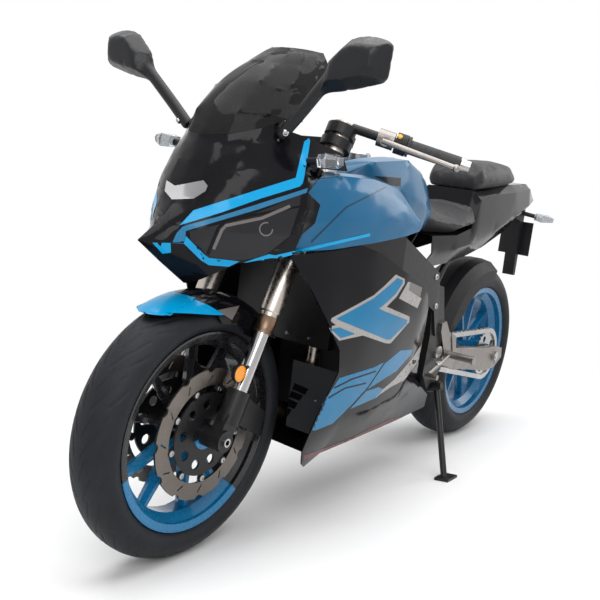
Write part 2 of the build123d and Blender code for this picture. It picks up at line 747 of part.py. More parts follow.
def levers():
    """Perches with their levers, switch pods and, on the right, the fluid reservoir."""
    knee = bar_point(0.30) + BAR_AHEAD * LEVER_AHEAD - UP * LEVER_DROP
    arm = rod(bar_point(0.29) + BAR_AHEAD * (GRIP_RADIUS - LEVER_SINK), knee, LEVER_ARM_RADIUS)
    tip = bar_point(0.90) + BAR_AHEAD * (LEVER_AHEAD + LEVER_FLARE) - UP * LEVER_TIP_DROP
    blade = rod(knee - BAR_ALONG * LEVER_DROP, tip, BLADE_RADIUS)
    ball = Solid.make_sphere(BLADE_BALL_RADIUS).moved(Location(tip))
    hand_lever = bar_sleeve(0.22, 0.36, GRIP_RADIUS + PERCH_WALL).fuse(arm, blade, ball)
    pod = bar_sleeve(0.375, 0.47, GRIP_RADIUS + POD_WALL)
    cup_at = bar_point(0.24) + BAR_AHEAD * CUP_AHEAD + UP * CUP_LIFT
    cup = rod(cup_at, cup_at + UP * CUP_HEIGHT, CUP_RADIUS)
    stalk = rod(
        cup_at + UP * LEVER_DROP, bar_point(0.29) + BAR_AHEAD * CUP_STALK_AHEAD, CUP_STALK_RADIUS
    )
    return [hand_lever, mirrored(hand_lever.fuse(cup, stalk))], pair(pod)


# Front mudguard, drawn about the front axle

GUARD_RADIUS = 316.0
GUARD_WALL = 3.0
GUARD_HALF = 70.0
# cross section of the guard: shares of its radius and of its half width
GUARD_PROFILE_SHARES = ((0.791, 0.97), (0.892, 1.0), (0.972, 0.68), (1.0, 0.22))
# side outline of the mudguard from the axle: columns are shares of the guard radius, x then z
GUARD_OUTLINE_SHARES = (
    (0.66, 0.86), (0.30, 0.885), (0.02, 0.86), (-0.06, 0.78), (-0.30, 0.62), (-0.62, 0.66),
    (-0.92, 0.52), (-1.2, 0.7), (-0.6, 1.3), (0.7, 1.3), (0.8, 0.9),
)
TAB_HALF = 20.0
TAB_DROP = 16.0
TAB_RISE = 30.0


def arched_shell(profile):
    """A thin ring about the Y axis through the left half of its cross section, crown last."""
    flat = profile + [(r, -y) for r, y in reversed(profile)]
    return turned_ring(flat + inward(flat, -GUARD_WALL)[::-1])


def front_mudguard():
    """A U-shaped guard over the tyre, cut to its side outline, with tabs to the fork legs."""
    shell = arched_shell([(r * GUARD_RADIUS, y * GUARD_HALF) for r, y in GUARD_PROFILE_SHARES])
    outline = [Vector(x * GUARD_RADIUS, -OVERRUN, z * GUARD_RADIUS) for x, z in GUARD_OUTLINE_SHARES]
    shell = at_front(common([shell], prism(outline, LEFT * (2 * OVERRUN)))[0])
    tab_high = FORK_HALF - COLLAR_RADIUS - SEAT_GAP
    tab = block(
        Vector(CLAMP_OFFSET - TAB_HALF, GUARD_HALF - GUARD_WALL, SEAL_HEIGHT - TAB_DROP),
        Vector(CLAMP_OFFSET + TAB_HALF, tab_high, SEAL_HEIGHT + TAB_RISE),
    )
    return [shell.fuse(steered(tab), mirrored(steered(tab)))]


AXLE_OVERHANG = 28.0
AXLE_WALL = 4.0


def front_axle():
    reach = FORK_HALF + AXLE_OVERHANG
    bar = across(AXLE_LEAD_X, AXLE_HEIGHT, -reach, reach, AXLE_RADIUS)
    return steered(bar.cut(across(AXLE_LEAD_X, AXLE_HEIGHT, -reach, reach, AXLE_RADIUS - AXLE_WALL)))


def steering_parts():
    legs = [fork_leg(side) for side in (-1, 1)]
    hand_levers, pods = levers()
    return {
        "fork_outer_tubes": [leg[0] for leg in legs],
        "fork_inner_tubes": [leg[1] for leg in legs],
        "fork_feet": [fork_foot(side) for side in (-1, 1)],
        "front_axle": [front_axle()],
        "triple_clamps": triple_clamps(),
        "handlebars": handlebars(),
        "grips": grips(),
        "bar_weights": bar_weights(),
        "hand_levers": hand_levers,
        "switch_pods": pods,
        "front_mudguard": front_mudguard(),
        "front_calipers": [caliper(side) for side in (-1, 1)],
    }


# Frame, engine and rear end

HEAD_GAP = 3.0
HEAD_LOW = LOWER_CLAMP + CLAMP_THICK + HEAD_GAP
HEAD_HIGH = TOP_CLAMP - HEAD_GAP
HEAD_RADIUS = 34.0
HEAD_MIDDLE = steer_point(0, 0, (HEAD_LOW + HEAD_HIGH) / 2)
HEAD_CASTING_HALF = 62.0
SPAR_HEIGHT = 110.0
SPAR_THICK = 28.0
SPINDLE_RADIUS = 9.0
PLATE_THICK = 20.0
PLATE_INNER = 138.0
PLATE_HEIGHT = 215.0
# spar from head to pivot: shares of the run to the head, the plate's inner Y, the rise, height, thickness
SPAR_SHARES = (
    (0.985, 0.13, 0.998, 0.78, 0.8), (0.788, 0.80, 0.809, 0.91, 1.0), (0.493, 1.014, 0.654, 1.0, 1.0),
    (0.123, 1.0, 0.421, 1.02, 1.0), (0.066, 1.0, 0.233, 0.91, 0.95),
)
# pivot plate in side view, from the pivot, in shares of its height above the pivot
PLATE_SHARES = (
    (0.442, 1.0), (0.07, 0.93), (-0.195, 0.14), (-0.209, -0.279), (0.14, -0.512),
    (0.326, -0.279), (0.279, 0.279),
)
TUBE_RADIUS = 14.0
TUBE_AHEAD = 30.0
TUBE_HEIGHTS = (60.0, -85.0)


def main_frame():
    """The cast steering head, the twin spars with their pivot plates, and the two cross tubes."""
    run, rise = HEAD_MIDDLE.X - PIVOT_X, HEAD_MIDDLE.Z - PIVOT_Z
    sections = []
    for ahead, inner, middle, height, thick in SPAR_SHARES:
        x = PIVOT_X + ahead * run
        low_y, high_y = inner * PLATE_INNER, inner * PLATE_INNER + thick * SPAR_THICK
        low_z = PIVOT_Z + middle * rise - height * SPAR_HEIGHT / 2
        high_z = low_z + height * SPAR_HEIGHT
        corners = ((low_y, low_z), (high_y, low_z), (high_y, high_z), (low_y, high_z))
        sections.append([Vector(x, y, z) for y, z in corners])
    plate = prism(
        [
            Vector(PIVOT_X + x * PLATE_HEIGHT, PLATE_INNER, PIVOT_Z + z * PLATE_HEIGHT)
            for x, z in PLATE_SHARES
        ],
        LEFT * PLATE_THICK,
    )
    left = hulls(sections).fuse(plate)
    head = steered(rod(Vector(0, 0, HEAD_LOW), Vector(0, 0, HEAD_HIGH), HEAD_RADIUS))
    bore = steered(rod(Vector(0, 0, HEAD_LOW), Vector(0, 0, HEAD_HIGH), STEM_RADIUS + RUN_GAP))
    far = Vector(OVERRUN * 9, HEAD_CASTING_HALF, OVERRUN * 9)
    neck = block(far * -1, far)
    casting = common([head.fuse(left, mirrored(left)).cut(bore)], neck)[0]
    spindle_hole = across(PIVOT_X, PIVOT_Z, 0, OVERRUN, SPINDLE_RADIUS + SEAT_GAP / 3)
    spar = left.cut(neck, spindle_hole).solids()[0]
    tubes = []
    for height in TUBE_HEIGHTS:
        tubes.append(
            across(PIVOT_X + TUBE_AHEAD, PIVOT_Z + height, -PLATE_INNER, PLATE_INNER, TUBE_RADIUS)
        )
    return casting, spar, tubes


CASE_BACK = 70.0
CASE_LENGTH = 350.0
CASE_HALF = 112.0
CASE_LOW = 250.0
CASE_HEIGHT = 250.0
CASE_CHAMFER = 14.0
BARREL_AHEAD = 330.0
BARREL_LOW = 460.0
BARREL_HALF = 100.0
BARREL_BACK = 80.0
BARREL_FRONT = 95.0
BARREL_HEIGHT = 250.0
BARREL_TILT = 18.0
COVER_Z = 385.0
COVER_CHAMFER = 10.0
LEFT_COVER_AHEAD = 300.0
LEFT_COVER_RADIUS = 78.0
LEFT_COVER_REACH = 150.0
RIGHT_COVER_AHEAD = 240.0
RIGHT_COVER_RADIUS = 92.0
RIGHT_COVER_REACH = 160.0
CHAIN_ROOM = 6.0
SHAFT_RADIUS = 13.0
SHAFT_END = 4.0
SHAFT_WEB_BACK = 20.0
SHAFT_WEB_HALF = 30.0
SHAFT_WEB_INNER = 40.0
LUG_HALF = 45.0
LUG_RISE = 15.0
TOP_MOUNT_AHEAD = 390.0
TOP_MOUNT_Z = 690.0


def engine(frame, panels):
    """The engine as one heavy block: crankcase, inclined cylinder, round side covers and its mounts."""
    back = PIVOT_X + CASE_BACK
    case = block(
        Vector(back, -CASE_HALF, CASE_LOW), Vector(back + CASE_LENGTH, CASE_HALF, CASE_LOW + CASE_HEIGHT)
    )
    case = case.chamfer(CASE_CHAMFER, None, case.edges().filter_by(Axis.X))
    barrel = block(Vector(-BARREL_BACK, -BARREL_HALF, 0), Vector(BARREL_FRONT, BARREL_HALF, BARREL_HEIGHT))
    barrel = barrel.moved(Location((PIVOT_X + BARREL_AHEAD, 0, BARREL_LOW), (0, BARREL_TILT, 0)))
    covers = []
    for ahead, radius, inner, outer in (
        (LEFT_COVER_AHEAD, LEFT_COVER_RADIUS, BARREL_HALF, LEFT_COVER_REACH),
        (RIGHT_COVER_AHEAD, RIGHT_COVER_RADIUS, -BARREL_HALF, -RIGHT_COVER_REACH),
    ):
        cover = across(PIVOT_X + ahead, COVER_Z, min(inner, outer), max(inner, outer), radius)
        rim_edge = cover.edges().filter_by(GeomType.CIRCLE).sort_by(Axis.Y)[-1 if outer > 0 else 0]
        covers.append(cover.chamfer(COVER_CHAMFER, None, [rim_edge]))
    whole = case.fuse(barrel, *covers)
    notch_low = SPROCKET_Y - CHAIN_WIDTH / 2 - CHAIN_ROOM
    reach = FRONT_SPROCKET_RADIUS + CHAIN_PLATE_HALF + CHAIN_ROOM
    whole = whole.cut(across(FRONT_SPROCKET_X, FRONT_SPROCKET_Z, notch_low, OVERRUN, reach))
    tip = FRONT_SPROCKET_RADIUS - CHAIN_ROLLER - SEAT_GAP
    half = SPROCKET_THICK / 2
    drive = across(FRONT_SPROCKET_X, FRONT_SPROCKET_Z, SPROCKET_Y - half, SPROCKET_Y + half, tip)
    shaft = across(
        FRONT_SPROCKET_X, FRONT_SPROCKET_Z, SHAFT_WEB_INNER, SPROCKET_Y + half + SHAFT_END, SHAFT_RADIUS
    )
    web = block(
        Vector(FRONT_SPROCKET_X - SHAFT_WEB_BACK, SHAFT_WEB_INNER, FRONT_SPROCKET_Z - SHAFT_WEB_HALF),
        Vector(back + SHAFT_WEB_BACK, notch_low, FRONT_SPROCKET_Z + SHAFT_WEB_HALF),
    )
    whole = whole.fuse(web, drive, shaft)
    for height in TUBE_HEIGHTS:
        low = PIVOT_Z + height - LUG_RISE
        whole = whole.fuse(
            block(
                Vector(PIVOT_X + TUBE_AHEAD, -LUG_HALF, low),
                Vector(back + SHAFT_WEB_BACK, LUG_HALF, low + 2 * LUG_RISE),
            )
        )
    mount = across(PIVOT_X + TOP_MOUNT_AHEAD, TOP_MOUNT_Z, -PLATE_INNER, PLATE_INNER, SHAFT_RADIUS)
    for peg in panel_pegs(ENGINE_PEG_SHARES, CASE_HALF - COVER_CHAMFER, panels):
        mount = mount.fuse(peg, mirrored(peg))
    return seated(whole.fuse(mount), *frame, *panels, *[mirrored(p) for p in panels])


# Swingarm and rear end

ARM_INNER = 112.0
ARM_THICK = 24.0
ARM_OUTER = ARM_INNER + ARM_THICK
ARM_BOSS = 32.0
PIVOT_TUBE_HALF = 86.0
PIVOT_TUBE_RADIUS = 24.0
PIVOT_CORE_RADIUS = 15.0
# left arm in side view: columns are shares of the fairing length, behind the pivot and above the ground
ARM_SHARES = (
    (0.026, 0.415), (-0.070, 0.418), (-0.190, 0.378), (-0.250, 0.372), (-0.440, 0.348), (-0.520, 0.344),
    (-0.570, 0.332), (-0.578, 0.298), (-0.520, 0.266), (-0.440, 0.266), (-0.250, 0.300),
    (-0.190, 0.306), (-0.070, 0.345), (0.000, 0.360), (0.030, 0.376),
)
BRACE_AHEAD = 338.0
BRACE_LENGTH = 80.0
BRACE_LOW = 336.0
BRACE_HEIGHT = 52.0
BRACE_SINK = 1.0
BOBBIN_BORE = 4.0
BOBBIN_DEPTH = 16.0
BOBBIN_BACK = 20.0
BOBBIN_DROP = 28.0
BOBBIN_Z = REAR_AXLE.Z - BOBBIN_DROP


def swingarm():
    """Two banana-shaped arms joined by a pivot tube and a cross brace that passes inside the chain."""
    outline = [
        Vector(PIVOT_X + x * FAIRING_LENGTH, ARM_INNER, z * FAIRING_LENGTH) for x, z in ARM_SHARES
    ]
    left = prism(outline, LEFT * ARM_THICK)
    left = left.fuse(across(PIVOT_X, PIVOT_Z, ARM_INNER, ARM_OUTER, ARM_BOSS))
    brace_half = ARM_INNER + BRACE_SINK
    brace = block(
        Vector(BRACE_AHEAD, -brace_half, BRACE_LOW),
        Vector(BRACE_AHEAD + BRACE_LENGTH, brace_half, BRACE_LOW + BRACE_HEIGHT),
    )
    whole = left.fuse(
        mirrored(left), brace,
        across(PIVOT_X, PIVOT_Z, -PIVOT_TUBE_HALF, PIVOT_TUBE_HALF, PIVOT_TUBE_RADIUS),
        across(PIVOT_X, PIVOT_Z, -ARM_OUTER, ARM_OUTER, PIVOT_CORE_RADIUS),
    )
    cuts = [
        across(PIVOT_X, PIVOT_Z, -ARM_OUTER, ARM_OUTER, SPINDLE_RADIUS + RUN_GAP),
        across(0, REAR_AXLE.Z, -ARM_OUTER, ARM_OUTER, AXLE_RADIUS + RUN_GAP),
    ]
    for side in (-1, 1):
        low, high = sorted((side * ARM_OUTER, side * (ARM_OUTER - BOBBIN_DEPTH)))
        cuts.append(across(-BOBBIN_BACK, BOBBIN_Z, low, high, BOBBIN_BORE))
    return whole.cut(*cuts)


AXLE_END = 14.0
NUT_THICK = 12.0
NUT_RADIUS = 17.0
SPACER_RADIUS = 18.0
SPINDLE_END = 4.0
SPINDLE_HEAD_THICK = 8.0
SPINDLE_HEAD_RADIUS = 20.0
SPINDLE_SPACER_RADIUS = 16.0
SPACER_GAP = 0.1


def spacer(x, z, low, high, radius, bore):
    """A plain sleeve across the motorcycle."""
    return across(x, z, low, high, radius).cut(across(x, z, low, high, bore + SPACER_GAP))


def rear_axle():
    """The rear axle with its nut and the spacers between hub and arms."""
    bar = across(0, REAR_AXLE.Z, -ARM_OUTER - AXLE_END, ARM_OUTER + AXLE_END, AXLE_RADIUS)
    rings = []
    for side in (-1, 1):
        low, high = sorted((side * (ARM_OUTER + SEAT_GAP), side * (ARM_OUTER + NUT_THICK)))
        nut = Plane(origin=(0, low, REAR_AXLE.Z), z_dir=LEFT) * RegularPolygon(NUT_RADIUS, 6)
        bar = bar.fuse(Solid.extrude(nut.face(), LEFT * (high - low)))
        low, high = sorted((side * (REAR_HUB_REACH + SEAT_GAP), side * (ARM_INNER - SEAT_GAP)))
        rings.append(spacer(0, REAR_AXLE.Z, low, high, SPACER_RADIUS, AXLE_RADIUS))
    return [bar, *rings]


def pivot_spindle():
    """The swingarm's spindle with its heads outside the plates and the spacers inside them."""
    outer = PLATE_INNER + PLATE_THICK
    bar = across(PIVOT_X, PIVOT_Z, -outer - SPINDLE_END, outer + SPINDLE_END, SPINDLE_RADIUS)
    rings = []
    for side in (-1, 1):
        low, high = sorted((side * (outer + SEAT_GAP), side * (outer + SPINDLE_HEAD_THICK)))
        bar = bar.fuse(across(PIVOT_X, PIVOT_Z, low, high, SPINDLE_HEAD_RADIUS))
        low, high = sorted((side * (ARM_OUTER + SPACER_GAP), side * (PLATE_INNER - SPACER_GAP)))
        rings.append(spacer(PIVOT_X, PIVOT_Z, low, high, SPINDLE_SPACER_RADIUS, SPINDLE_RADIUS))
    return [bar, *rings]


REAR_CALIPER_INNER = 52.0
REAR_CALIPER_LENGTH = 68.0
REAR_CALIPER_HALF = 26.0
REAR_CALIPER_OUT = 12.5
REAR_CALIPER_IN = 17.0
REAR_CALIPER_TURN = 14.0
REAR_CALIPER_RELIEF = 4.0


def rear_caliper():
    """The small rear caliper over the disc, ahead of the axle, inside the right arm."""
    shell = block(
        Vector(REAR_CALIPER_INNER, REAR_DISC_Y - REAR_CALIPER_OUT, -REAR_CALIPER_HALF),
        Vector(REAR_CALIPER_INNER + REAR_CALIPER_LENGTH, REAR_DISC_Y + REAR_CALIPER_IN, REAR_CALIPER_HALF),
    )
    half = (DISC_THICK + CALIPER_SLOT) / 2
    slot = across(0, 0, REAR_DISC_Y - half, REAR_DISC_Y + half, REAR_DISC_RADIUS + REAR_CALIPER_RELIEF)
    return at_rear(shell.cut(slot).moved(Location((0, 0, 0), (0, -REAR_CALIPER_TURN, 0))))


HUGGER_GAP = 12.0
# cross section and side outline of the rear guard: shares of its radius, and of its half width
HUGGER_PROFILE_SHARES = ((0.784, 1.0), (0.907, 0.94), (0.988, 0.6), (1.009, 0.2))
HUGGER_OUTLINE_SHARES = (
    (0.05, 0.70), (0.55, 0.55), (0.93, 0.165), (1.5, 0.1), (0.9, 1.5), (-0.2, 1.5), (-0.12, 0.9),
)
HOLD_BACK = 5.0
HOLD_LENGTH = 20.0
HOLD_THICK = 9.0
HOLD_INNER = 66.0
HOLD_INSET = 6.0


def rear_hugger():
    """A short guard over the rear tyre, with a foot that lies on each arm."""
    radius = REAR_TYRE_RADIUS + HUGGER_GAP
    half = REAR_TYRE_WIDTH / 2 + HUGGER_GAP
    shell = arched_shell([(r * radius, y * half) for r, y in HUGGER_PROFILE_SHARES])
    keep = [Vector(x * radius, -OVERRUN, z * radius) for x, z in HUGGER_OUTLINE_SHARES]
    shell = common([shell], prism(keep, LEFT * (2 * OVERRUN)))[0]
    arm_x, arm_z = ARM_SHARES[2]
    front = PIVOT_X + arm_x * FAIRING_LENGTH - HOLD_BACK
    seat = arm_z * FAIRING_LENGTH
    hold = block(
        Vector(front - HOLD_LENGTH, HOLD_INNER, seat), Vector(front, ARM_OUTER - HOLD_INSET, seat + HOLD_THICK)
    )
    return at_rear(shell).fuse(hold, mirrored(hold))


# Subframe and footrests

RAIL_RADIUS = 11.0
STAY_RADIUS = 10.0
RUNG_RADIUS = 9.0
# rail and stay places: x behind the pivot, y, z above the pivot
RAIL_SIZES = ((-25.0, 78.0, 215.0), (150.0, 78.0, 325.0), (600.0, 44.0, 465.0))
STAY_SIZES = ((-24.0, 88.0, 66.0), (210.0, 74.0, 342.0))
SHOCK_EYE = 13.0
SHOCK_EYE_HALF = 18.0
DAMPER_RADIUS = 10.0
SPRING_RADIUS = 30.0
SPRING_START = 30.0
SPRING_LENGTH = 110.0
COLLAR_START = 6.0
COLLAR_DEPTH = 38.0
SHOCK_COLLAR_RADIUS = 22.0


def behind_pivot(sizes):
    return Vector(PIVOT_X - sizes[0], sizes[1], PIVOT_Z + sizes[2])


def shock():
    """The inclined rear spring and damper between brace and frame tube."""
    brace_top = BRACE_LOW + BRACE_HEIGHT
    low = Vector(BRACE_AHEAD + BRACE_LENGTH * 0.6, 0, brace_top + SHOCK_EYE + SEAT_GAP)
    top = behind_pivot(RAIL_SIZES[0])
    high = Vector(top.X, 0, top.Z)
    along = (high - low).normalized()
    high = high - along * (TUBE_RADIUS + SEAT_GAP)
    spring_low = low + along * SPRING_START
    collar_high = high - along * COLLAR_START
    return rod(low, high, DAMPER_RADIUS).fuse(
        across(low.X, low.Z, -SHOCK_EYE_HALF, SHOCK_EYE_HALF, SHOCK_EYE),
        rod(spring_low, spring_low + along * SPRING_LENGTH, SPRING_RADIUS),
        rod(collar_high - along * COLLAR_DEPTH, collar_high, SHOCK_COLLAR_RADIUS),
    )


def subframe():
    """Two rails and two stays that carry the seat and tail, with rungs and the shock's cross tube."""
    whole = rod(behind_pivot(STAY_SIZES[0]), behind_pivot(STAY_SIZES[1]), STAY_RADIUS)
    for start, end in zip(RAIL_SIZES, RAIL_SIZES[1:]):
        bar = rod(behind_pivot(start), behind_pivot(end), RAIL_RADIUS)
        whole = whole.fuse(bar, Solid.make_sphere(RAIL_RADIUS).moved(Location(behind_pivot(end))))
    both = whole.fuse(mirrored(whole))
    start, end = behind_pivot(RAIL_SIZES[1]), behind_pivot(RAIL_SIZES[2])
    for share in (0.2, 0.6, 0.98):
        at = start + (end - start) * share
        both = both.fuse(across(at.X, at.Z, -at.Y, at.Y, RUNG_RADIUS))
    at = behind_pivot(RAIL_SIZES[0])
    reach = PLATE_INNER - SEAT_GAP
    return both.fuse(across(at.X, at.Z, -reach, reach, TUBE_RADIUS))


REST_BACK = 62.0
REST_DROP = 12.0
REST_HEIGHT = 95.0
REST_THICK = 9.0
REST_SINK = 2.0
REST_LENGTH = 89.0
REST_RADIUS = 11.0
REST_KNOB_LENGTH = 6.0
REST_KNOB_RADIUS = 14.0
HEEL_THICK = 3.0
PEDAL_OUT = 18.0
PEDAL_FLARE = 4.0
PEDAL_REACH = 150.0
PEDAL_DROP = 40.0
PEDAL_RADIUS = 5.5
TOE_LENGTH = 38.0
TOE_RADIUS = 8.0
# bracket and heel guard in side view, from the pivot, in shares of the bracket's height
REST_SHARES = (
    (0.105, 0.947), (-0.19, 1.0), (-0.968, 0.105), (-0.968, -0.21), (-0.632, -0.358), (-0.4, -0.147),
    (0.084, 0.674),
)
HEEL_SHARES = ((-0.632, 0.579), (-1.0, 0.421), (-1.179, -0.158), (-0.947, -0.19), (-0.821, 0.126))


def beside_pivot(shares, y):
    """An outline given from the pivot in shares of the footrest bracket's height, at one Y."""
    return [Vector(PIVOT_X + x * REST_HEIGHT, y, PIVOT_Z + z * REST_HEIGHT) for x, z in shares]


def footrests():
    """Rider's footrest brackets with pegs, heel guards and the foot levers."""
    low = PLATE_INNER + PLATE_THICK + SEAT_GAP
    x, z = PIVOT_X - REST_BACK, PIVOT_Z - REST_DROP
    plate = prism(beside_pivot(REST_SHARES, low), LEFT * REST_THICK)
    guard = prism(beside_pivot(HEEL_SHARES, low + REST_THICK), LEFT * HEEL_THICK)
    peg_root = low + REST_THICK - REST_SINK
    peg_end = peg_root + REST_LENGTH
    peg = across(x, z, peg_root, peg_end, REST_RADIUS)
    knob = across(x, z, peg_end - REST_KNOB_LENGTH, peg_end, REST_KNOB_RADIUS)
    toe_at = Vector(x + PEDAL_REACH, low + PEDAL_OUT + PEDAL_FLARE, z - PEDAL_DROP)
    pedal = rod(Vector(x, low + PEDAL_OUT, z), toe_at, PEDAL_RADIUS)
    toe = across(toe_at.X, toe_at.Z, low + PEDAL_OUT, low + PEDAL_OUT + TOE_LENGTH, TOE_RADIUS)
    return pair(plate.fuse(peg, knob, guard, pedal, toe))


# Side stand: leg splayed to the left, swings back and up about a tilted pin

STAND_BACK = 22.0
STAND_SIDE = 14.0
STAND_DROP = 112.0
STAND_PIVOT = Vector(PIVOT_X - STAND_BACK, PLATE_INNER + STAND_SIDE, PIVOT_Z - STAND_DROP)
STAND_TILT = 15.9
STAND_AXIS = Vector(0, cos(radians(STAND_TILT)), sin(radians(STAND_TILT)))
STAND_PIN = 6.0
STAND_OUT_SHARE = 0.40
STAND_AHEAD_SHARE = 0.22
STAND_LEG_RADIUS = 9.5
STAND_LEG_START = 13.0
STAND_EYE_RADIUS = 15.0
STAND_EYE_LENGTH = 21.8
STAND_LUG_FACE = 3.0
STAND_LUG_LENGTH = 19.0
STAND_LUG_RADIUS = 17.0
STAND_WEB_RADIUS = 8.0
STAND_WEB_AHEAD = 6.0
STAND_WEB_DROP = 66.0
STAND_HEAD_RADIUS = 11.0
STAND_HEAD_THICK = 5.0
FOOT_LENGTH = 62.0
FOOT_WIDTH = 44.0
FOOT_THICK = 8.0
FOOT_OUT = 6.0


def crown_drop():
    """How far the lowest point of the leaning tyres lies from the ground line they lean about."""
    lean = Location((0, 0, 0), (-LEAN, 0, 0))
    front = at_front(tyre(FRONT_TYRE_RADIUS, FRONT_TYRE_WIDTH))
    rear = at_rear(tyre(REAR_TYRE_RADIUS, REAR_TYRE_WIDTH))
    return min(shape.moved(lean).bounding_box().min.Z for shape in (front, rear))


def lean_back(point):
    """A point given beside the parked motorcycle, in the upright frame."""
    return point.rotate(Axis.X, LEAN)


def side_stand(ground):
    """The stand leg with its eye, and a flat foot that lies on the ground of the parked motorcycle."""
    down = -sqrt(1 - STAND_OUT_SHARE ** 2 - STAND_AHEAD_SHARE ** 2)
    direction = Vector(STAND_AHEAD_SHARE, STAND_OUT_SHARE, down)
    # run along the leg until it meets the foot, inside the foot's thickness above the ground
    lift = STAND_PIVOT.rotate(Axis.X, -LEAN).Z - (ground + FOOT_THICK * 0.6)
    end = STAND_PIVOT + direction * (lift / -direction.rotate(Axis.X, -LEAN).Z)
    eye_low = STAND_PIVOT + STAND_AXIS * (STAND_LUG_FACE + SEAT_GAP)
    eye = rod(eye_low, eye_low + STAND_AXIS * STAND_EYE_LENGTH, STAND_EYE_RADIUS)
    leg = rod(STAND_PIVOT + STAND_AXIS * STAND_LEG_START, end, STAND_LEG_RADIUS)
    parked_end = end.rotate(Axis.X, -LEAN)
    corners = []
    for x, y in ((-1, -1), (1, -1), (1, 1), (-1, 1)):
        corners.append(
            lean_back(
                Vector(
                    parked_end.X + x * FOOT_LENGTH / 2, parked_end.Y + FOOT_OUT + y * FOOT_WIDTH / 2, ground
                )
            )
        )
    up = lean_back(UP)
    pin_room = rod(STAND_PIVOT - STAND_AXIS * OVERRUN, STAND_PIVOT + STAND_AXIS * OVERRUN, STAND_PIN + RUN_GAP)
    below = prism([corner - up * OVERRUN for corner in corners], up * OVERRUN)
    return eye.fuse(leg).cut(pin_room, below).fuse(prism(corners, up * FOOT_THICK))


def stand_bracket():
    """The lug on the frame plate that carries the stand's pin, and the pin with its head."""
    face = STAND_PIVOT + STAND_AXIS * STAND_LUG_FACE
    foot = face - STAND_AXIS * STAND_LUG_LENGTH
    pin_end = face + STAND_AXIS * (2 * SEAT_GAP + STAND_EYE_LENGTH)
    root = Vector(PIVOT_X + STAND_WEB_AHEAD, PLATE_INNER + STAND_WEB_RADIUS, PIVOT_Z - STAND_WEB_DROP)
    return rod(foot, face, STAND_LUG_RADIUS).fuse(
        rod(foot + STAND_AXIS * STAND_PIN, root, STAND_WEB_RADIUS),
        rod(foot + STAND_AXIS * STAND_PIN, pin_end, STAND_PIN),
        rod(pin_end, pin_end + STAND_AXIS * STAND_HEAD_THICK, STAND_HEAD_RADIUS),
    )


# Bodywork: the columns of every table are shares of the fairing's length, width and height

NOSE_SHARES = (
    (0.432, ((0.847, 0.0), (0.820, 0.06), (0.790, 0.11), (0.740, 0.16), (0.700, 0.19))),
    (0.481, ((0.923, 0.0), (0.860, 0.09), (0.805, 0.17), (0.730, 0.28), (0.580, 0.456))),
    (0.527, ((0.990, 0.0), (0.915, 0.09), (0.840, 0.21), (0.740, 0.33), (0.580, 0.470))),
    (0.560, ((0.945, 0.0), (0.918, 0.09), (0.860, 0.21), (0.726, 0.37), (0.580, 0.470))),
    (0.620, ((0.890, 0.0), (0.884, 0.10), (0.855, 0.21), (0.706, 0.410), (0.580, 0.464))),
    (0.684, ((0.865, 0.0), (0.856, 0.10), (0.838, 0.19), (0.714, 0.380), (0.580, 0.430))),
    (0.743, ((0.837, 0.0), (0.825, 0.104), (0.790, 0.19), (0.700, 0.330), (0.580, 0.370))),
    (0.800, ((0.814, 0.0), (0.798, 0.116), (0.746, 0.224), (0.670, 0.300), (0.560, 0.330))),
    (0.860, ((0.762, 0.0), (0.745, 0.120), (0.690, 0.208), (0.620, 0.236), (0.545, 0.244))),
    (0.920, ((0.678, 0.0), (0.664, 0.100), (0.622, 0.168), (0.580, 0.188), (0.535, 0.194))),
    (0.961, ((0.606, 0.0), (0.599, 0.060), (0.582, 0.100), (0.560, 0.120), (0.530, 0.130))),
)
COWL_SHARES = (
    (1.05, 0.425), (0.847, 0.425), (0.795, 0.490), (0.707, 0.5165), (0.707, 0.705), (0.580, 0.705),
    (0.580, 0.742), (0.690, 0.768), (0.746, 0.783), (0.846, 0.741), (1.05, 0.741),
)
SCREEN_SHARES = (
    (1.05, 0.7413), (0.8463, 0.7413), (0.7463, 0.7833), (0.584, 0.874), (0.536, 0.932),
    (0.500, 0.99), (1.05, 0.99),
)
LAMP_SHARES = (
    (0.905, 0.553), (0.806, 0.600), (0.708, 0.658), (0.7075, 0.623), (0.746, 0.516), (0.785, 0.500),
    (0.850, 0.490), (0.900, 0.535),
)
BEACON_SHARES = ((0.930, 0.612), (0.930, 0.700), (0.850, 0.690), (0.850, 0.622))

SHOULDER_SHARES = (
    (0.7078, ((0.292, 0.517), (0.356, 0.580), (0.384, 0.650), (0.376, 0.672), (0.340, 0.690))),
    (0.600, ((0.412, 0.532), (0.432, 0.600), (0.424, 0.670), (0.390, 0.694), (0.340, 0.700))),
    (0.450, ((0.452, 0.548), (0.464, 0.600), (0.428, 0.660), (0.392, 0.692), (0.340, 0.698))),
    (0.330, ((0.456, 0.560), (0.464, 0.600), (0.424, 0.650), (0.392, 0.674), (0.350, 0.680))),
    (0.240, ((0.444, 0.572), (0.448, 0.582), (0.446, 0.590), (0.442, 0.596), (0.436, 0.600))),
)
SIDE_LEVELS = (0.0, 0.100, 0.240, 0.360, 0.480, 0.580)
SIDE_SHARES = (
    (0.740, (0.390, 0.396, 0.400, 0.380, 0.330, 0.300)),
    (0.600, (0.370, 0.400, 0.444, 0.444, 0.410, 0.400)),
    (0.450, (0.290, 0.400, 0.460, 0.476, 0.460, 0.456)),
    (0.300, (0.280, 0.396, 0.456, 0.480, 0.472, 0.464)),
    (0.160, (0.270, 0.370, 0.430, 0.456, 0.450, 0.444)),
    (0.040, (0.260, 0.320, 0.360, 0.390, 0.400, 0.400)),
    (-0.170, (0.230, 0.240, 0.300, 0.330, 0.340, 0.340)),
)
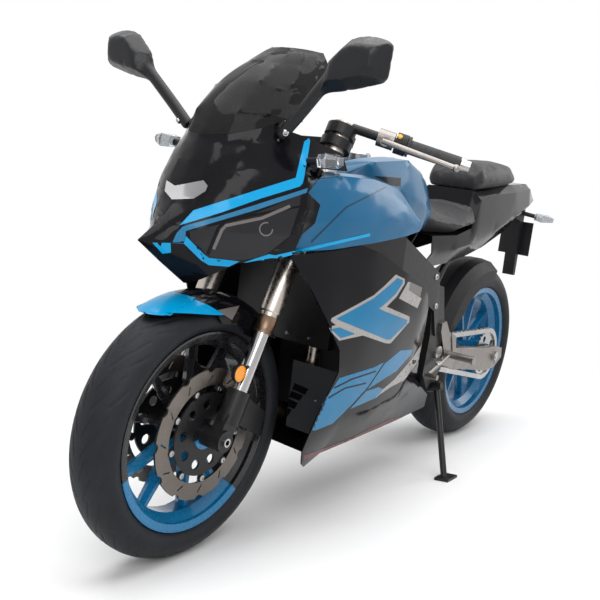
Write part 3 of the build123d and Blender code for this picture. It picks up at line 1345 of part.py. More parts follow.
SIDE_TRIM_SHARES = (
    (0.706, 0.512), (0.655, 0.450), (0.590, 0.348), (0.550, 0.300), (0.540, 0.246), (0.578, 0.140),
    (0.590, 0.096), (0.602, 0.055), (0.585, 0.017), (0.560, 0.0003), (0.450, 0.0003), (-0.16, 0.0003),
    (-0.165, 0.040), (0.010, 0.130), (0.062, 0.233), (0.100, 0.330), (0.135, 0.395), (0.180, 0.425),
    (0.322, 0.478), (0.418, 0.520), (0.500, 0.541), (0.600, 0.528), (0.700, 0.516),
)
BELLY_SHARES = (
    (0.485, ((0.0, 0.004), (0.140, 0.002), (0.3016, 0.0))),
    (0.450, ((0.0, 0.000), (0.140, 0.000), (0.2826, 0.0))),
    (0.300, ((0.0, 0.000), (0.140, 0.000), (0.2726, 0.0))),
    (0.160, ((0.0, 0.000), (0.140, 0.000), (0.2626, 0.0))),
    (0.040, ((0.0, 0.000), (0.120, 0.000), (0.2526, 0.0))),
    (-0.160, ((0.0, 0.000), (0.110, 0.000), (0.2236, 0.0))),
)
TANK_SHARES = (
    (0.425, ((0.0, 0.640), (0.14, 0.640), (0.160, 0.660), (0.136, 0.682), (0.060, 0.688), (0.0, 0.684))),
    (0.360, ((0.0, 0.618), (0.26, 0.618), (0.290, 0.680), (0.256, 0.730), (0.150, 0.735), (0.0, 0.712))),
    (0.200, ((0.0, 0.600), (0.31, 0.580), (0.330, 0.660), (0.280, 0.745), (0.160, 0.752), (0.0, 0.735))),
    (0.050, ((0.0, 0.590), (0.25, 0.560), (0.290, 0.620), (0.230, 0.710), (0.120, 0.738), (0.0, 0.742))),
    (-0.034, ((0.0, 0.585), (0.19, 0.570), (0.220, 0.600), (0.165, 0.672), (0.090, 0.702), (0.0, 0.708))),
)
TAIL_SHARES = (
    (-0.040, ((0.190, 0.440), (0.250, 0.490), (0.236, 0.540), (0.160, 0.546), (0.0, 0.546))),
    (-0.200, ((0.190, 0.450), (0.250, 0.500), (0.236, 0.540), (0.160, 0.544), (0.0, 0.544))),
    (-0.310, ((0.176, 0.462), (0.240, 0.512), (0.224, 0.560), (0.160, 0.566), (0.0, 0.566))),
    (-0.350, ((0.170, 0.465), (0.236, 0.518), (0.224, 0.650), (0.160, 0.676), (0.0, 0.676))),
    (-0.500, ((0.150, 0.490), (0.216, 0.545), (0.200, 0.670), (0.144, 0.688), (0.0, 0.688))),
    (-0.700, ((0.120, 0.540), (0.180, 0.590), (0.168, 0.680), (0.116, 0.705), (0.0, 0.705))),
    (-0.900, ((0.070, 0.600), (0.124, 0.635), (0.110, 0.695), (0.070, 0.712), (0.0, 0.715))),
    (-1.030, ((0.030, 0.638), (0.050, 0.652), (0.040, 0.660), (0.024, 0.666), (0.0, 0.668))),
)
RIDER_SHARES = (
    (-0.0345, ((0.0, 0.5463), (0.150, 0.5463), (0.200, 0.590), (0.150, 0.650), (0.0, 0.665))),
    (-0.070, ((0.0, 0.5461), (0.160, 0.5461), (0.220, 0.580), (0.180, 0.622), (0.0, 0.632))),
    (-0.110, ((0.0, 0.5455), (0.170, 0.5455), (0.236, 0.575), (0.200, 0.610), (0.0, 0.618))),
    (-0.200, ((0.0, 0.5443), (0.190, 0.5443), (0.270, 0.570), (0.230, 0.596), (0.0, 0.600))),
    (-0.300, ((0.0, 0.5660), (0.180, 0.5660), (0.260, 0.580), (0.220, 0.610), (0.0, 0.618))),
    (-0.322, ((0.0, 0.6020), (0.170, 0.6020), (0.220, 0.610), (0.190, 0.632), (0.0, 0.640))),
)
PILLION_SHARES = (
    (-0.352, ((0.0, 0.6763), (0.150, 0.6763), (0.170, 0.695), (0.150, 0.720), (0.0, 0.728))),
    (-0.380, ((0.0, 0.6787), (0.160, 0.6787), (0.200, 0.705), (0.176, 0.745), (0.0, 0.755))),
    (-0.500, ((0.0, 0.6883), (0.150, 0.6883), (0.200, 0.715), (0.170, 0.758), (0.0, 0.768))),
    (-0.640, ((0.0, 0.7000), (0.130, 0.7000), (0.170, 0.725), (0.140, 0.766), (0.0, 0.776))),
    (-0.730, ((0.0, 0.7086), (0.090, 0.7086), (0.120, 0.720), (0.100, 0.742), (0.0, 0.750))),
)


def closed_along_x(stations):
    """A closed solid through cross sections given for the left half, from the bottom centre up."""
    sections = []
    for x_share, line in stations:
        left = [body(x_share, y, z) for y, z in line]
        right = [body(x_share, -y, z) for y, z in reversed(line) if y > 0]
        sections.append(left + right)
    return hulls(sections)


def grown(shares, grow):
    """A side-view outline pushed outward from its middle by a share."""
    middle_x = sum(s[0] for s in shares) / len(shares)
    middle_z = sum(s[1] for s in shares) / len(shares)
    moved = []
    for x, z in shares:
        run = hypot(x - middle_x, z - middle_z)
        moved.append((x + (x - middle_x) * grow / run, z + (z - middle_z) * grow / run))
    return moved


LAMP_INNER = 22.0
BEACON_HALF = 42.0
LEAST_CHIP = 2000.0


def nose():
    """The screen, the nose cowl and the lamp lenses, cut from one hood so that they meet edge to edge."""
    hood = [skin_along_z(NOSE_SHARES, PANEL_WALL)]
    screen = common(hood, side_prism(SCREEN_SHARES, -OVERRUN, OVERRUN))
    cowl = common(hood, side_prism(COWL_SHARES, -OVERRUN, OVERRUN))
    lenses = []
    for shares, low, high in (
        (LAMP_SHARES, LAMP_INNER, OVERRUN), (LAMP_SHARES, -OVERRUN, -LAMP_INNER),
        (BEACON_SHARES, -BEACON_HALF, BEACON_HALF),
    ):
        lens = common(cowl, side_prism(shares, low, high))
        lenses.append(ShapeList(lens).sort_by(SortBy.VOLUME)[-1])
        room = grown(shares, SEAT_GAP / FAIRING_LENGTH)
        cowl = without(cowl, side_prism(room, low - SEAT_GAP, high + SEAT_GAP))
    pieces = [s for s in cowl if s.volume > LEAST_CHIP]
    return screen, pieces, lenses


def side_panels():
    """The left side fairing, trimmed to its outline, with room for the exhaust."""
    stations = []
    for x_share, widths in SIDE_SHARES:
        stations.append((x_share, tuple(zip(widths, SIDE_LEVELS))))
    skin = skin_along_x(stations, PANEL_WALL)
    return common([skin], side_prism(SIDE_TRIM_SHARES, 0, OVERRUN))[0]


def belly_pan():
    sections = []
    for x_share, line in BELLY_SHARES:
        flat = [(-body(0, y, 0).Y, body(0, 0, z).Z) for y, z in reversed(line)]
        flat += [(body(0, y, 0).Y, body(0, 0, z).Z) for y, z in line[1:]]
        loop = flat + inward(flat, PANEL_WALL)[::-1]
        sections.append([Vector(body(x_share, 0, 0).X, y, z) for y, z in loop])
    return hulls(sections)


MIRROR_BASE_SHARES = (0.739, 0.26, 0.76)
MIRROR_KNEE_SHARES = (0.748, 0.364, 0.81)
MIRROR_ROOT_SHARES = (0.768, 0.524, 0.888)
MIRROR_FACE_SHARE = 0.764
# outline of the mirror head from the front: shares of the fairing's width and height
MIRROR_SHARES = (
    (0.478, 0.854), (0.493, 0.912), (0.602, 0.961), (0.684, 0.965), (0.777, 0.954), (0.769, 0.881),
    (0.602, 0.861),
)
MIRROR_STEM_RADIUS = 13.0
MIRROR_BULGE = 34.0
MIRROR_RIM = 8.0
MIRROR_FOOT = 60.0
MIRROR_FOOT_HEIGHT = 44.0
MIRROR_FOOT_INSET = 14.0
MIRROR_FOOT_LEAN = 8.0
MIRROR_FOOT_DROP = 35.0
# outline of the mirror's base from above: shares of its length
MIRROR_FOOT_SHARES = ((-0.7, 0.23), (-0.2, -0.23), (0.5, -0.37), (0.37, 0.1), (-0.5, 0.57))


def mirrors(cowl):
    """Angular mirror heads on bent stems, and the bases under them."""
    base, knee, root = [body(*s) for s in (MIRROR_BASE_SHARES, MIRROR_KNEE_SHARES, MIRROR_ROOT_SHARES)]
    stem = rod(base, knee, MIRROR_STEM_RADIUS).fuse(
        Solid.make_sphere(MIRROR_STEM_RADIUS).moved(Location(knee)), rod(knee, root, MIRROR_STEM_RADIUS)
    )
    corner_at = base - Vector(0, MIRROR_FOOT_INSET, MIRROR_FOOT_DROP)
    foot = prism(
        [corner_at + Vector(x * MIRROR_FOOT, y * MIRROR_FOOT, 0) for x, y in MIRROR_FOOT_SHARES],
        Vector(0, MIRROR_FOOT_LEAN, MIRROR_FOOT_HEIGHT),
    )
    foot = seated(foot, *cowl)
    face = [body(MIRROR_FACE_SHARE, y, z) for y, z in MIRROR_SHARES]
    middle = sum(face, Vector(0, 0, 0)) * (1 / len(face))
    front = [middle + (corner - middle) * 0.62 + Vector(MIRROR_BULGE, 0, 0) for corner in face]
    back = [corner - Vector(MIRROR_RIM, 0, 0) for corner in face]
    head = hulls([front, face]).fuse(hulls([face, back]))
    return pair(head.fuse(seated(stem, *cowl))), pair(seated(foot, stem))


STALK_RADIUS = 8.0
STALK_SINK = 2.0
LENS_LENGTH = 44.0
LENS_HEIGHT = 30.0
# lens sections: place along the stalk, then shares of the lens's length and height
LENS_SHARES = ((0.0, 0.77, 0.87), (0.5, 1.0, 1.0), (1.0, 0.59, 0.53))
FRONT_SIGNAL_SHARES = (0.692, 0.718)
FRONT_SIGNAL_TIP_SHARES = (0.700, 0.524, 0.726)
REAR_SIGNAL_SHARES = (-0.962, 0.040, 0.600)
REAR_SIGNAL_TIP_SHARES = (-1.000, 0.244, 0.586)


def turn_signal(root, tip):
    """A short stalk with an angular lens."""
    along = (tip - root).normalized()
    ahead = Vector(1, 0, 0)
    up = ahead.cross(along).normalized()
    start = root + (tip - root) * 0.45
    sections = []
    for share, length, height in LENS_SHARES:
        at = start + (tip - start) * share
        a = ahead * (length * LENS_LENGTH / 2)
        b = up * (height * LENS_HEIGHT / 2)
        sections.append([at - a - b, at + a - b, at + a * 1.3 + b * 0.2, at + a + b, at - a + b])
    return rod(root, start + along, STALK_RADIUS), hulls(sections)


# Pipe routes: shares of the fairing's length from the pivot, of its width, and of its height above ground
HEADER_SHARES = ((0.478, 0.156, 0.620), (0.532, 0.164, 0.560), (0.540, 0.156, 0.330), (0.470, 0.080, 0.229))
COLLECTOR_SHARES = (0.240, -0.116, 0.229)
TAIL_PIPE_SHARES = ((-0.030, -0.132, 0.229), (-0.120, -0.300, 0.240), (-0.175, -0.380, 0.262))
CAN_START_SHARES = (-0.150, -0.376, 0.258)
CAN_END_SHARES = (-0.440, -0.410, 0.325)
HEADER_RADIUS = 17.0
PIPE_RADIUS = 20.0
PIPE_BEND = 40.0
PIPE_ROOM = 8.0
COLLECTOR_RADIUS = 24.0
CAN_RADIUS = 50.0
CAN_CHAMFER = 12.0
CAN_DEPTH = 60.0


def along_pipe(shares, side=1):
    """A point of an exhaust route."""
    x, y, z = shares
    return Vector(PIVOT_X + x * FAIRING_LENGTH, side * y * FAIRING_WIDTH, z * FAIRING_HEIGHT)


def tail_pipe(radius):
    points = [along_pipe(shares) for shares in (COLLECTOR_SHARES, *TAIL_PIPE_SHARES)]
    return tube_along(points, radius, PIPE_BEND)


def exhaust(engine_block):
    """Two header pipes into a collector, the pipe under the swingarm and the round silencer."""
    collector = along_pipe(COLLECTOR_SHARES)
    whole = tail_pipe(PIPE_RADIUS).fuse(Solid.make_sphere(COLLECTOR_RADIUS).moved(Location(collector)))
    for side in (-1, 1):
        points = [along_pipe(shares, side) for shares in HEADER_SHARES]
        whole = whole.fuse(tube_along([*points, collector], HEADER_RADIUS, PIPE_BEND))
    start, end = along_pipe(CAN_START_SHARES), along_pipe(CAN_END_SHARES)
    along = (end - start).normalized()
    can = rod(start, end, CAN_RADIUS)
    can = can.chamfer(CAN_CHAMFER, None, can.edges().filter_by(GeomType.CIRCLE))
    can = can.cut(rod(end - along * CAN_DEPTH, end + along, COLLECTOR_RADIUS))
    return seated(whole.fuse(can), engine_block)


STAY_CROSS_SHARES = (0.672, 0.0, 0.725)
STAY_FOOT = 905.0
STAY_BAR_RADIUS = 13.0
STAY_CROSS_RADIUS = 8.0
STAY_PRONG_RADIUS = 6.0
STAY_PRONG_SHARES = (0.622, 0.080, 0.812)
DASH_SHARES = (0.596, 0.156, 0.800)
DASH_THICK = 20.0
DASH_HEIGHT = 78.0
DASH_PLATE_HALF = 60.0
DASH_PLATE_RISE = 5.0
DASH_PLATE_THICK = 4.7


def dash():
    low = body(*DASH_SHARES) - LEFT * (2 * DASH_SHARES[1] * FAIRING_WIDTH)
    return block(low, body(*DASH_SHARES) + Vector(DASH_THICK, 0, DASH_HEIGHT))


def fairing_stay(cowl):
    """A bar from the steering head to a cross bar that carries the nose cowl and the dash."""
    cross = body(*STAY_CROSS_SHARES)
    reach = outer_y(cowl, cross.X, cross.Z) + STAY_PRONG_RADIUS
    whole = rod(steer_point(HEAD_RADIUS, 0, STAY_FOOT), cross, STAY_BAR_RADIUS)
    whole = whole.fuse(across(cross.X, cross.Z, -reach, reach, STAY_CROSS_RADIUS))
    prong_x, prong_y, prong_z = STAY_PRONG_SHARES
    for side in (-1, 1):
        prong_top = body(prong_x, side * prong_y, prong_z)
        prong_root = Vector(cross.X, prong_top.Y, cross.Z)
        whole = whole.fuse(rod(prong_root, prong_top, STAY_PRONG_RADIUS))
    low = body(DASH_SHARES[0], 0, DASH_SHARES[2])
    low = low + Vector(DASH_THICK + SEAT_GAP, -DASH_PLATE_HALF, DASH_PLATE_RISE)
    plate = block(
        low, low + Vector(DASH_PLATE_THICK, 2 * DASH_PLATE_HALF, DASH_HEIGHT - 2 * DASH_PLATE_RISE)
    )
    head = steered(rod(Vector(0, 0, HEAD_LOW), Vector(0, 0, HEAD_HIGH), HEAD_RADIUS))
    return seated(whole.fuse(plate), *cowl, head)


# places of the mounting pegs of the shoulder panels, on the frame, and of the side fairings, on the engine
SHOULDER_PEG_SHARES = ((0.360, 0.590), (0.300, 0.568))
ENGINE_PEG_SHARES = ((0.200, 0.250), (0.080, 0.150))
PEG_RADIUS = 6.0
PEG_SINK = 4.0
# places of the tail's pegs along the rails
TAIL_PEG_SHARES = (0.11, 0.51)


def panel_pegs(places, start, panels):
    """Short pegs on the left, from a start out to the inner faces of the panels."""
    pegs = []
    for x_share, z_share in places:
        place = body(x_share, 0, z_share)
        reach = outer_y(panels, place.X, place.Z) - PANEL_WALL / 2
        pegs.append(across(place.X, place.Z, start, reach, PEG_RADIUS))
    return pegs


RADIATOR_AHEAD = 558.0
RADIATOR_THICK = 25.0
RADIATOR_HALF = 150.0
RADIATOR_LOW = 470.0
RADIATOR_HEIGHT = 210.0
HANGER_RADIUS = 9.0
HANGER_Y = 62.0
HANGER_RISE = 120.0
HANGER_SINK = 10.0
VENT_THICK = 5.0
VENT_SHARE = 0.462
# outline of an inner vent panel from the front: shares of the fairing's width and height
VENT_SHARES = ((0.084, 0.045), (0.3288, 0.045), (0.3792, 0.09), (0.4114, 0.145), (0.412, 0.22), (0.084, 0.22))


def radiator(frame):
    """The radiator core, hung from the frame by two rods."""
    back = PIVOT_X + RADIATOR_AHEAD
    top = RADIATOR_LOW + RADIATOR_HEIGHT
    core = block(
        Vector(back, -RADIATOR_HALF, RADIATOR_LOW), Vector(back + RADIATOR_THICK, RADIATOR_HALF, top)
    )
    middle = back + RADIATOR_THICK / 2
    for side in (-1, 1):
        foot = Vector(middle, side * HANGER_Y, top - HANGER_SINK)
        core = core.fuse(rod(foot, foot + UP * HANGER_RISE, HANGER_RADIUS))
    return seated(core, *frame)


def inner_vent():
    outline = [body(VENT_SHARE, y, z) for y, z in VENT_SHARES]
    return prism(outline, Vector(VENT_THICK, 0, 0))


FILLER_SHARES = (0.235, 0.0, 0.725)
FILLER_RADIUS = 38.0
FILLER_RISE = 26.0
FILLER_CHAMFER = 4.0
FILLER_HINGE_LENGTH = 16.0
FILLER_HINGE_HALF = 12.0
FILLER_HINGE_DROP = 3.0


def filler_cap(tank):
    """The round lid of the tank's filler with its hinge block, seated on the tank."""
    low = body(*FILLER_SHARES)
    lid = rod(low, low + UP * FILLER_RISE, FILLER_RADIUS)
    top_edge = lid.edges().filter_by(GeomType.CIRCLE).sort_by(Axis.Z)[-1]
    lid = lid.chamfer(FILLER_CHAMFER, None, [top_edge])
    hinge = block(
        low + Vector(0, -FILLER_HINGE_HALF, 0),
        low + Vector(FILLER_RADIUS + FILLER_HINGE_LENGTH, FILLER_HINGE_HALF, FILLER_RISE - FILLER_HINGE_DROP),
    )
    return seated(lid.fuse(hinge), tank)


TAIL_LAMP_SHARES = (
    (-0.9900, ((0.0, 0.630), (0.058, 0.646), (0.050, 0.663), (0.034, 0.671), (0.0, 0.674))),
    (-1.0297, ((0.0, 0.639), (0.041, 0.650), (0.032, 0.655), (0.019, 0.6605), (0.0, 0.6625))),
)
PLATE_SHARE = -0.972
PLATE_LOW_SHARE = 0.440
PLATE_HIGH_SHARE = 0.568
NUMBER_PLATE_HALF = 62.0
NUMBER_PLATE_THICK = 3.0
HANGER_HALF = 22.0
# the plate hanger in side view
HANGER_SHARES = (
    (-0.850, 0.626), (-0.9717, 0.645), (-0.9717, 0.360), (-0.952, 0.360), (-0.940, 0.570), (-0.850, 0.590),
)


def plate_hanger(tail):
    """The tongue under the tail and the bare plate on it."""
    low = body(PLATE_SHARE, 0, PLATE_LOW_SHARE)
    high = body(PLATE_SHARE, 0, PLATE_HIGH_SHARE)
    plate = block(
        low - Vector(NUMBER_PLATE_THICK, NUMBER_PLATE_HALF, 0), high + LEFT * NUMBER_PLATE_HALF
    )
    hanger = seated(side_prism(HANGER_SHARES, -HANGER_HALF, HANGER_HALF), *tail)
    return [hanger, plate]


def signals(cowl, hanger):
    """Front stalks on the nose cowl, rear stalks on the hanger, and a lens on each."""
    x, z = body(FRONT_SIGNAL_SHARES[0], 0, 0).X, body(0, 0, FRONT_SIGNAL_SHARES[1]).Z
    root = Vector(x, outer_y(cowl, x, z) - STALK_SINK, z)
    stalks = []
    lenses = []
    for start, tip, carriers in (
        (root, body(*FRONT_SIGNAL_TIP_SHARES), cowl),
        (body(*REAR_SIGNAL_SHARES), body(*REAR_SIGNAL_TIP_SHARES), [hanger]),
    ):
        stalk, lens = turn_signal(start, tip)
        stalk = seated(stalk, *carriers)
        stalks += pair(stalk)
        lenses += pair(seated(lens, stalk))
    return stalks, lenses


def tail_rails(frame, tail):
    """The subframe with the pegs that hold the tail cowl."""
    rails = subframe()
    start, end = behind_pivot(RAIL_SIZES[1]), behind_pivot(RAIL_SIZES[2])
    for share in TAIL_PEG_SHARES:
        at = start + (end - start) * share
        peg = across(at.X, at.Z, at.Y, outer_y(tail, at.X, at.Z) - PANEL_WALL / 2, PEG_RADIUS)
        rails = rails.fuse(peg, mirrored(peg))
    return seated(rails, *frame, *tail)


def root_parts():
    parts = {}
    screen, cowl, lenses = nose()
    parts["windscreen"] = screen
    parts["nose_cowl"] = cowl
    parts["headlamps"] = lenses
    shoulder = skin_along_x(SHOULDER_SHARES, PANEL_WALL)
    side = side_panels()
    parts["shoulder_panels"] = pair(shoulder)
    parts["side_fairings"] = [s.cut(tail_pipe(PIPE_RADIUS + PIPE_ROOM)) for s in pair(side)]
    parts["belly_pan"] = [belly_pan()]
    parts["fuel_tank"] = [closed_along_x(TANK_SHARES)]
    parts["filler_cap"] = [filler_cap(parts["fuel_tank"][0])]
    parts["rider_seat"] = [closed_along_x(RIDER_SHARES)]
    parts["pillion_seat"] = [closed_along_x(PILLION_SHARES)]
    parts["tail_cowl"] = [skin_along_x(TAIL_SHARES, PANEL_WALL, whole=True)]
    parts["tail_lamp"] = [seated(closed_along_x(TAIL_LAMP_SHARES), *parts["tail_cowl"])]
    parts["mirrors"], parts["mirror_feet"] = mirrors(cowl)
    casting, spar, tubes = main_frame()
    pegs = panel_pegs(SHOULDER_PEG_SHARES, PLATE_INNER - PEG_SINK, [shoulder])
    left = seated(spar.fuse(*pegs, stand_bracket()), shoulder, side)
    right = mirrored(seated(spar.fuse(*pegs), shoulder, side))
    frame = [casting, left, right, *tubes]
    parts["main_frame"] = frame
    parts["engine"] = [engine(frame, [side])]
    parts["exhaust"] = [exhaust(parts["engine"][0])]
    parts["radiator"] = [radiator(frame)]
    parts["inner_vents"] = pair(inner_vent())
    parts["dash"] = [dash()]
    parts["fairing_stay"] = [fairing_stay(cowl)]
    parts["plate_hanger"] = plate_hanger(parts["tail_cowl"])
    parts["signal_stalks"], parts["signal_lenses"] = signals(cowl, parts["plate_hanger"][0])
    parts["subframe"] = [tail_rails(frame, parts["tail_cowl"])]
    parts["footrests"] = footrests()
    parts["swingarm"] = [swingarm()]
    parts["rear_axle"] = rear_axle()
    parts["pivot_spindle"] = pivot_spindle()
    parts["rear_caliper"] = [rear_caliper()]
    parts["rear_hugger"] = [rear_hugger()]
    parts["rear_shock"] = [shock()]
    return parts


def build():
    parts = {}
    parts.update(front_wheel_parts())
    parts.update(rear_wheel_parts())
    parts.update(steering_parts())
    parts["drive_chain"] = [chain()]
    parts.update(root_parts())
    parts["side_stand"] = [side_stand(crown_drop())]
    return parts


def park(parts):
    """Lean everything on the stand and put the origin under the middle of the whole."""
    turn = Location((0, 0, 0), (-LEAN, 0, 0))
    leaning = {}
    for name, shapes in parts.items():
        leaning[name] = [solid.moved(turn) for shape in shapes for solid in shape.solids()]
    boxes = [solid.bounding_box() for solids in leaning.values() for solid in solids]
    middle_x = (min(box.min.X for box in boxes) + max(box.max.X for box in boxes)) / 2
    middle_y = (min(box.min.Y for box in boxes) + max(box.max.Y for box in boxes)) / 2
    shift = Location((-middle_x, -middle_y, -min(box.min.Z for box in boxes)))
    return {name: [s.moved(shift) for s in solids] for name, solids in leaning.items()}, turn, shift


def export(parts):
    os.makedirs("parts", exist_ok=True)
    for name, solids in parts.items():
        export_step(Compound(children=solids), "parts/" + name + ".step")


if __name__ == "__main__":
    export(park(build())[0])
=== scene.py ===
import json
import math

import bmesh
import bpy
import numpy as np
from mathutils import Matrix, Vector
from mathutils.bvhtree import BVHTree
from mathutils.geometry import tessellate_polygon


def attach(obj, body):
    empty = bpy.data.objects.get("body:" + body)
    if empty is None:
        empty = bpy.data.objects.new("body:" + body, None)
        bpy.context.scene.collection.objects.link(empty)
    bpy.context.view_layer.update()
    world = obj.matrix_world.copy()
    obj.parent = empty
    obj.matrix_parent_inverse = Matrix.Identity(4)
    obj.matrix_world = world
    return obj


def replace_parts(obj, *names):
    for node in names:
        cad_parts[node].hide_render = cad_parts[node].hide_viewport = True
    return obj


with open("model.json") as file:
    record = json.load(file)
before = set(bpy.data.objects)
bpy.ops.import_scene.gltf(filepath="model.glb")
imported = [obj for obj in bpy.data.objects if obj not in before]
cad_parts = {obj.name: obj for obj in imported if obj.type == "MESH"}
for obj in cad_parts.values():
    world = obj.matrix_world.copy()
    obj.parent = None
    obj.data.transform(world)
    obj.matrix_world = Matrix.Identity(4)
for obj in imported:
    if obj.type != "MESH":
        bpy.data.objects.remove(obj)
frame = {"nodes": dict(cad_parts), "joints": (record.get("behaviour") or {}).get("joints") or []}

NODES = frame["nodes"]
MM = 0.001
LEAN = math.radians(8.5)
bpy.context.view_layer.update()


# Places: the bike upright, in millimetres from the ground under the rear axle, to the parked frame

REAR_RADIUS = 312 * MM
rear_hub = Vector(next(j["pos_m"] for j in frame["joints"] if j["name"] == "rear_wheel_spin"))
LEANED = Matrix.Rotation(-LEAN, 4, "X")
SHIFT = rear_hub - LEANED @ Vector((0, 0, REAR_RADIUS))
PARKED = Matrix.Translation(SHIFT) @ LEANED
UPRIGHT = PARKED.inverted()
MIRROR = PARKED @ Matrix.Scale(-1, 4, (0, 1, 0)) @ UPRIGHT


def spot(x, y, z):
    return PARKED @ (Vector((x, y, z)) * MM)


def turned(x, y, z):
    return (LEANED @ Vector((x, y, z))).normalized()


# Camera

EYE = Vector((2.731, 1.343, 0.753)) + Vector((SHIFT.x, SHIFT.y, SHIFT.z))
YAW, PITCH = math.radians(-143.76), math.radians(-5.31)
FOCAL_PIXELS = 832.3
FRAME_PIXELS = 600
SENSOR = 36.0
gaze = Vector((math.cos(PITCH) * math.cos(YAW), math.cos(PITCH) * math.sin(YAW), math.sin(PITCH)))
camera_data = bpy.data.cameras.new("camera")
camera_data.sensor_width = SENSOR
camera_data.lens = FOCAL_PIXELS * SENSOR / FRAME_PIXELS
camera_data.clip_start, camera_data.clip_end = 0.05, 60
camera = bpy.data.objects.new("camera", camera_data)
bpy.context.scene.collection.objects.link(camera)
camera.location = EYE
camera.rotation_mode = "QUATERNION"
camera.rotation_quaternion = gaze.to_track_quat("-Z", "Y")
bpy.context.scene.camera = camera
bpy.context.view_layer.update()
TO_WORLD = camera.rotation_quaternion.to_matrix()


def pixel_ray(px, py):
    half = FRAME_PIXELS / 2
    return (TO_WORLD @ Vector((px - half, half - py, -FOCAL_PIXELS))).normalized()


# Materials

GRAIN_HEIGHT = 0.0004
COAT_ROUGH = 0.04
HAZE = 0.04
SECTOR_BLUR = 0.006


def tree_of(name):
    """A new material with its nodes, its links and its shader."""
    material = bpy.data.materials.new(name)
    material.use_nodes = True
    nodes, links = material.node_tree.nodes, material.node_tree.links
    return material, nodes, links, nodes["Principled BSDF"]


def textured(nodes, links, scale, detail=3.0, rough=0.55, stretch=None):
    """Noise in the object's own space, from 0 to 1."""
    place = nodes.new("ShaderNodeTexCoord")
    source = place.outputs["Object"]
    if stretch:
        mapping = nodes.new("ShaderNodeMapping")
        mapping.inputs["Scale"].default_value = stretch
        links.new(source, mapping.inputs["Vector"])
        source = mapping.outputs["Vector"]
    noise = nodes.new("ShaderNodeTexNoise")
    noise.inputs["Scale"].default_value = scale
    noise.inputs["Detail"].default_value = detail
    noise.inputs["Roughness"].default_value = rough
    links.new(source, noise.inputs["Vector"])
    return noise.outputs["Fac"]


def spread(nodes, links, source, low, high, start=0.3, end=0.7):
    """A value between start and end, spread from low to high."""
    reach = nodes.new("ShaderNodeMapRange")
    reach.inputs["From Min"].default_value = start
    reach.inputs["From Max"].default_value = end
    reach.inputs["To Min"].default_value = low
    reach.inputs["To Max"].default_value = high
    links.new(source, reach.inputs["Value"])
    return reach.outputs["Result"]


def between(nodes, links, factor, first, second):
    """A mix of two colours."""
    blend = nodes.new("ShaderNodeMix")
    blend.data_type = "RGBA"
    blend.inputs["A"].default_value = (*first, 1)
    blend.inputs["B"].default_value = (*second, 1)
    links.new(factor, blend.inputs["Factor"])
    return blend.outputs["Result"]


def scaled(colour, share):
    """The colour made lighter or darker."""
    return tuple(min(1, c * share) for c in colour)


def finish(name, colour, rough, metal=0.0, coat=0.0, vary=0.1, patch=9, grain=0.0, grain_size=900,
           swing=0.08, stretch=None, cells=False, sheen=0.0, second=None, shine=0.5):
    """A surface with uneven colour and gloss, and a grain that stands up from it."""
    material, nodes, links, shader = tree_of(name)
    cloudy = textured(nodes, links, patch, 5.0, 0.6, stretch)
    dark = second or scaled(colour, 1 - vary)
    mixed = between(nodes, links, spread(nodes, links, cloudy, 0, 1), dark, scaled(colour, 1 + vary))
    links.new(mixed, shader.inputs["Base Color"])
    fine = textured(nodes, links, patch * 11, 4.0, 0.6, stretch)
    links.new(spread(nodes, links, fine, max(0.02, rough - swing), rough + swing), shader.inputs["Roughness"])
    shader.inputs["Metallic"].default_value = metal
    if coat:
        shader.inputs["Coat Weight"].default_value = coat
        shader.inputs["Coat Roughness"].default_value = COAT_ROUGH
    shader.inputs["Specular IOR Level"].default_value = shine
    if sheen:
        shader.inputs["Sheen Weight"].default_value = sheen
        shader.inputs["Sheen Roughness"].default_value = 0.5
    if grain:
        bump = nodes.new("ShaderNodeBump")
        bump.inputs["Strength"].default_value = grain
        bump.inputs["Distance"].default_value = GRAIN_HEIGHT
        if cells:
            voronoi = nodes.new("ShaderNodeTexVoronoi")
            voronoi.inputs["Scale"].default_value = grain_size
            place = nodes.new("ShaderNodeTexCoord")
            links.new(place.outputs["Object"], voronoi.inputs["Vector"])
            links.new(voronoi.outputs["Distance"], bump.inputs["Height"])
        else:
            links.new(textured(nodes, links, grain_size, 3.0, 0.6, stretch), bump.inputs["Height"])
        links.new(bump.outputs["Normal"], shader.inputs["Normal"])
    return material


def clear(name, colour, rough, through, shine=0.5, coat=0.2, bend=1.45):
    """Clear or smoked plastic, with a faint haze in its gloss."""
    material, nodes, links, shader = tree_of(name)
    cloudy = textured(nodes, links, 14, 4.0, 0.6)
    links.new(between(nodes, links, spread(nodes, links, cloudy, 0, 1), scaled(colour, 0.94), colour),
              shader.inputs["Base Color"])
    links.new(spread(nodes, links, textured(nodes, links, 120), rough, rough + HAZE), shader.inputs["Roughness"])
    shader.inputs["Transmission Weight"].default_value = through
    shader.inputs["IOR"].default_value = bend
    shader.inputs["Coat Weight"].default_value = coat
    shader.inputs["Specular IOR Level"].default_value = shine
    return material


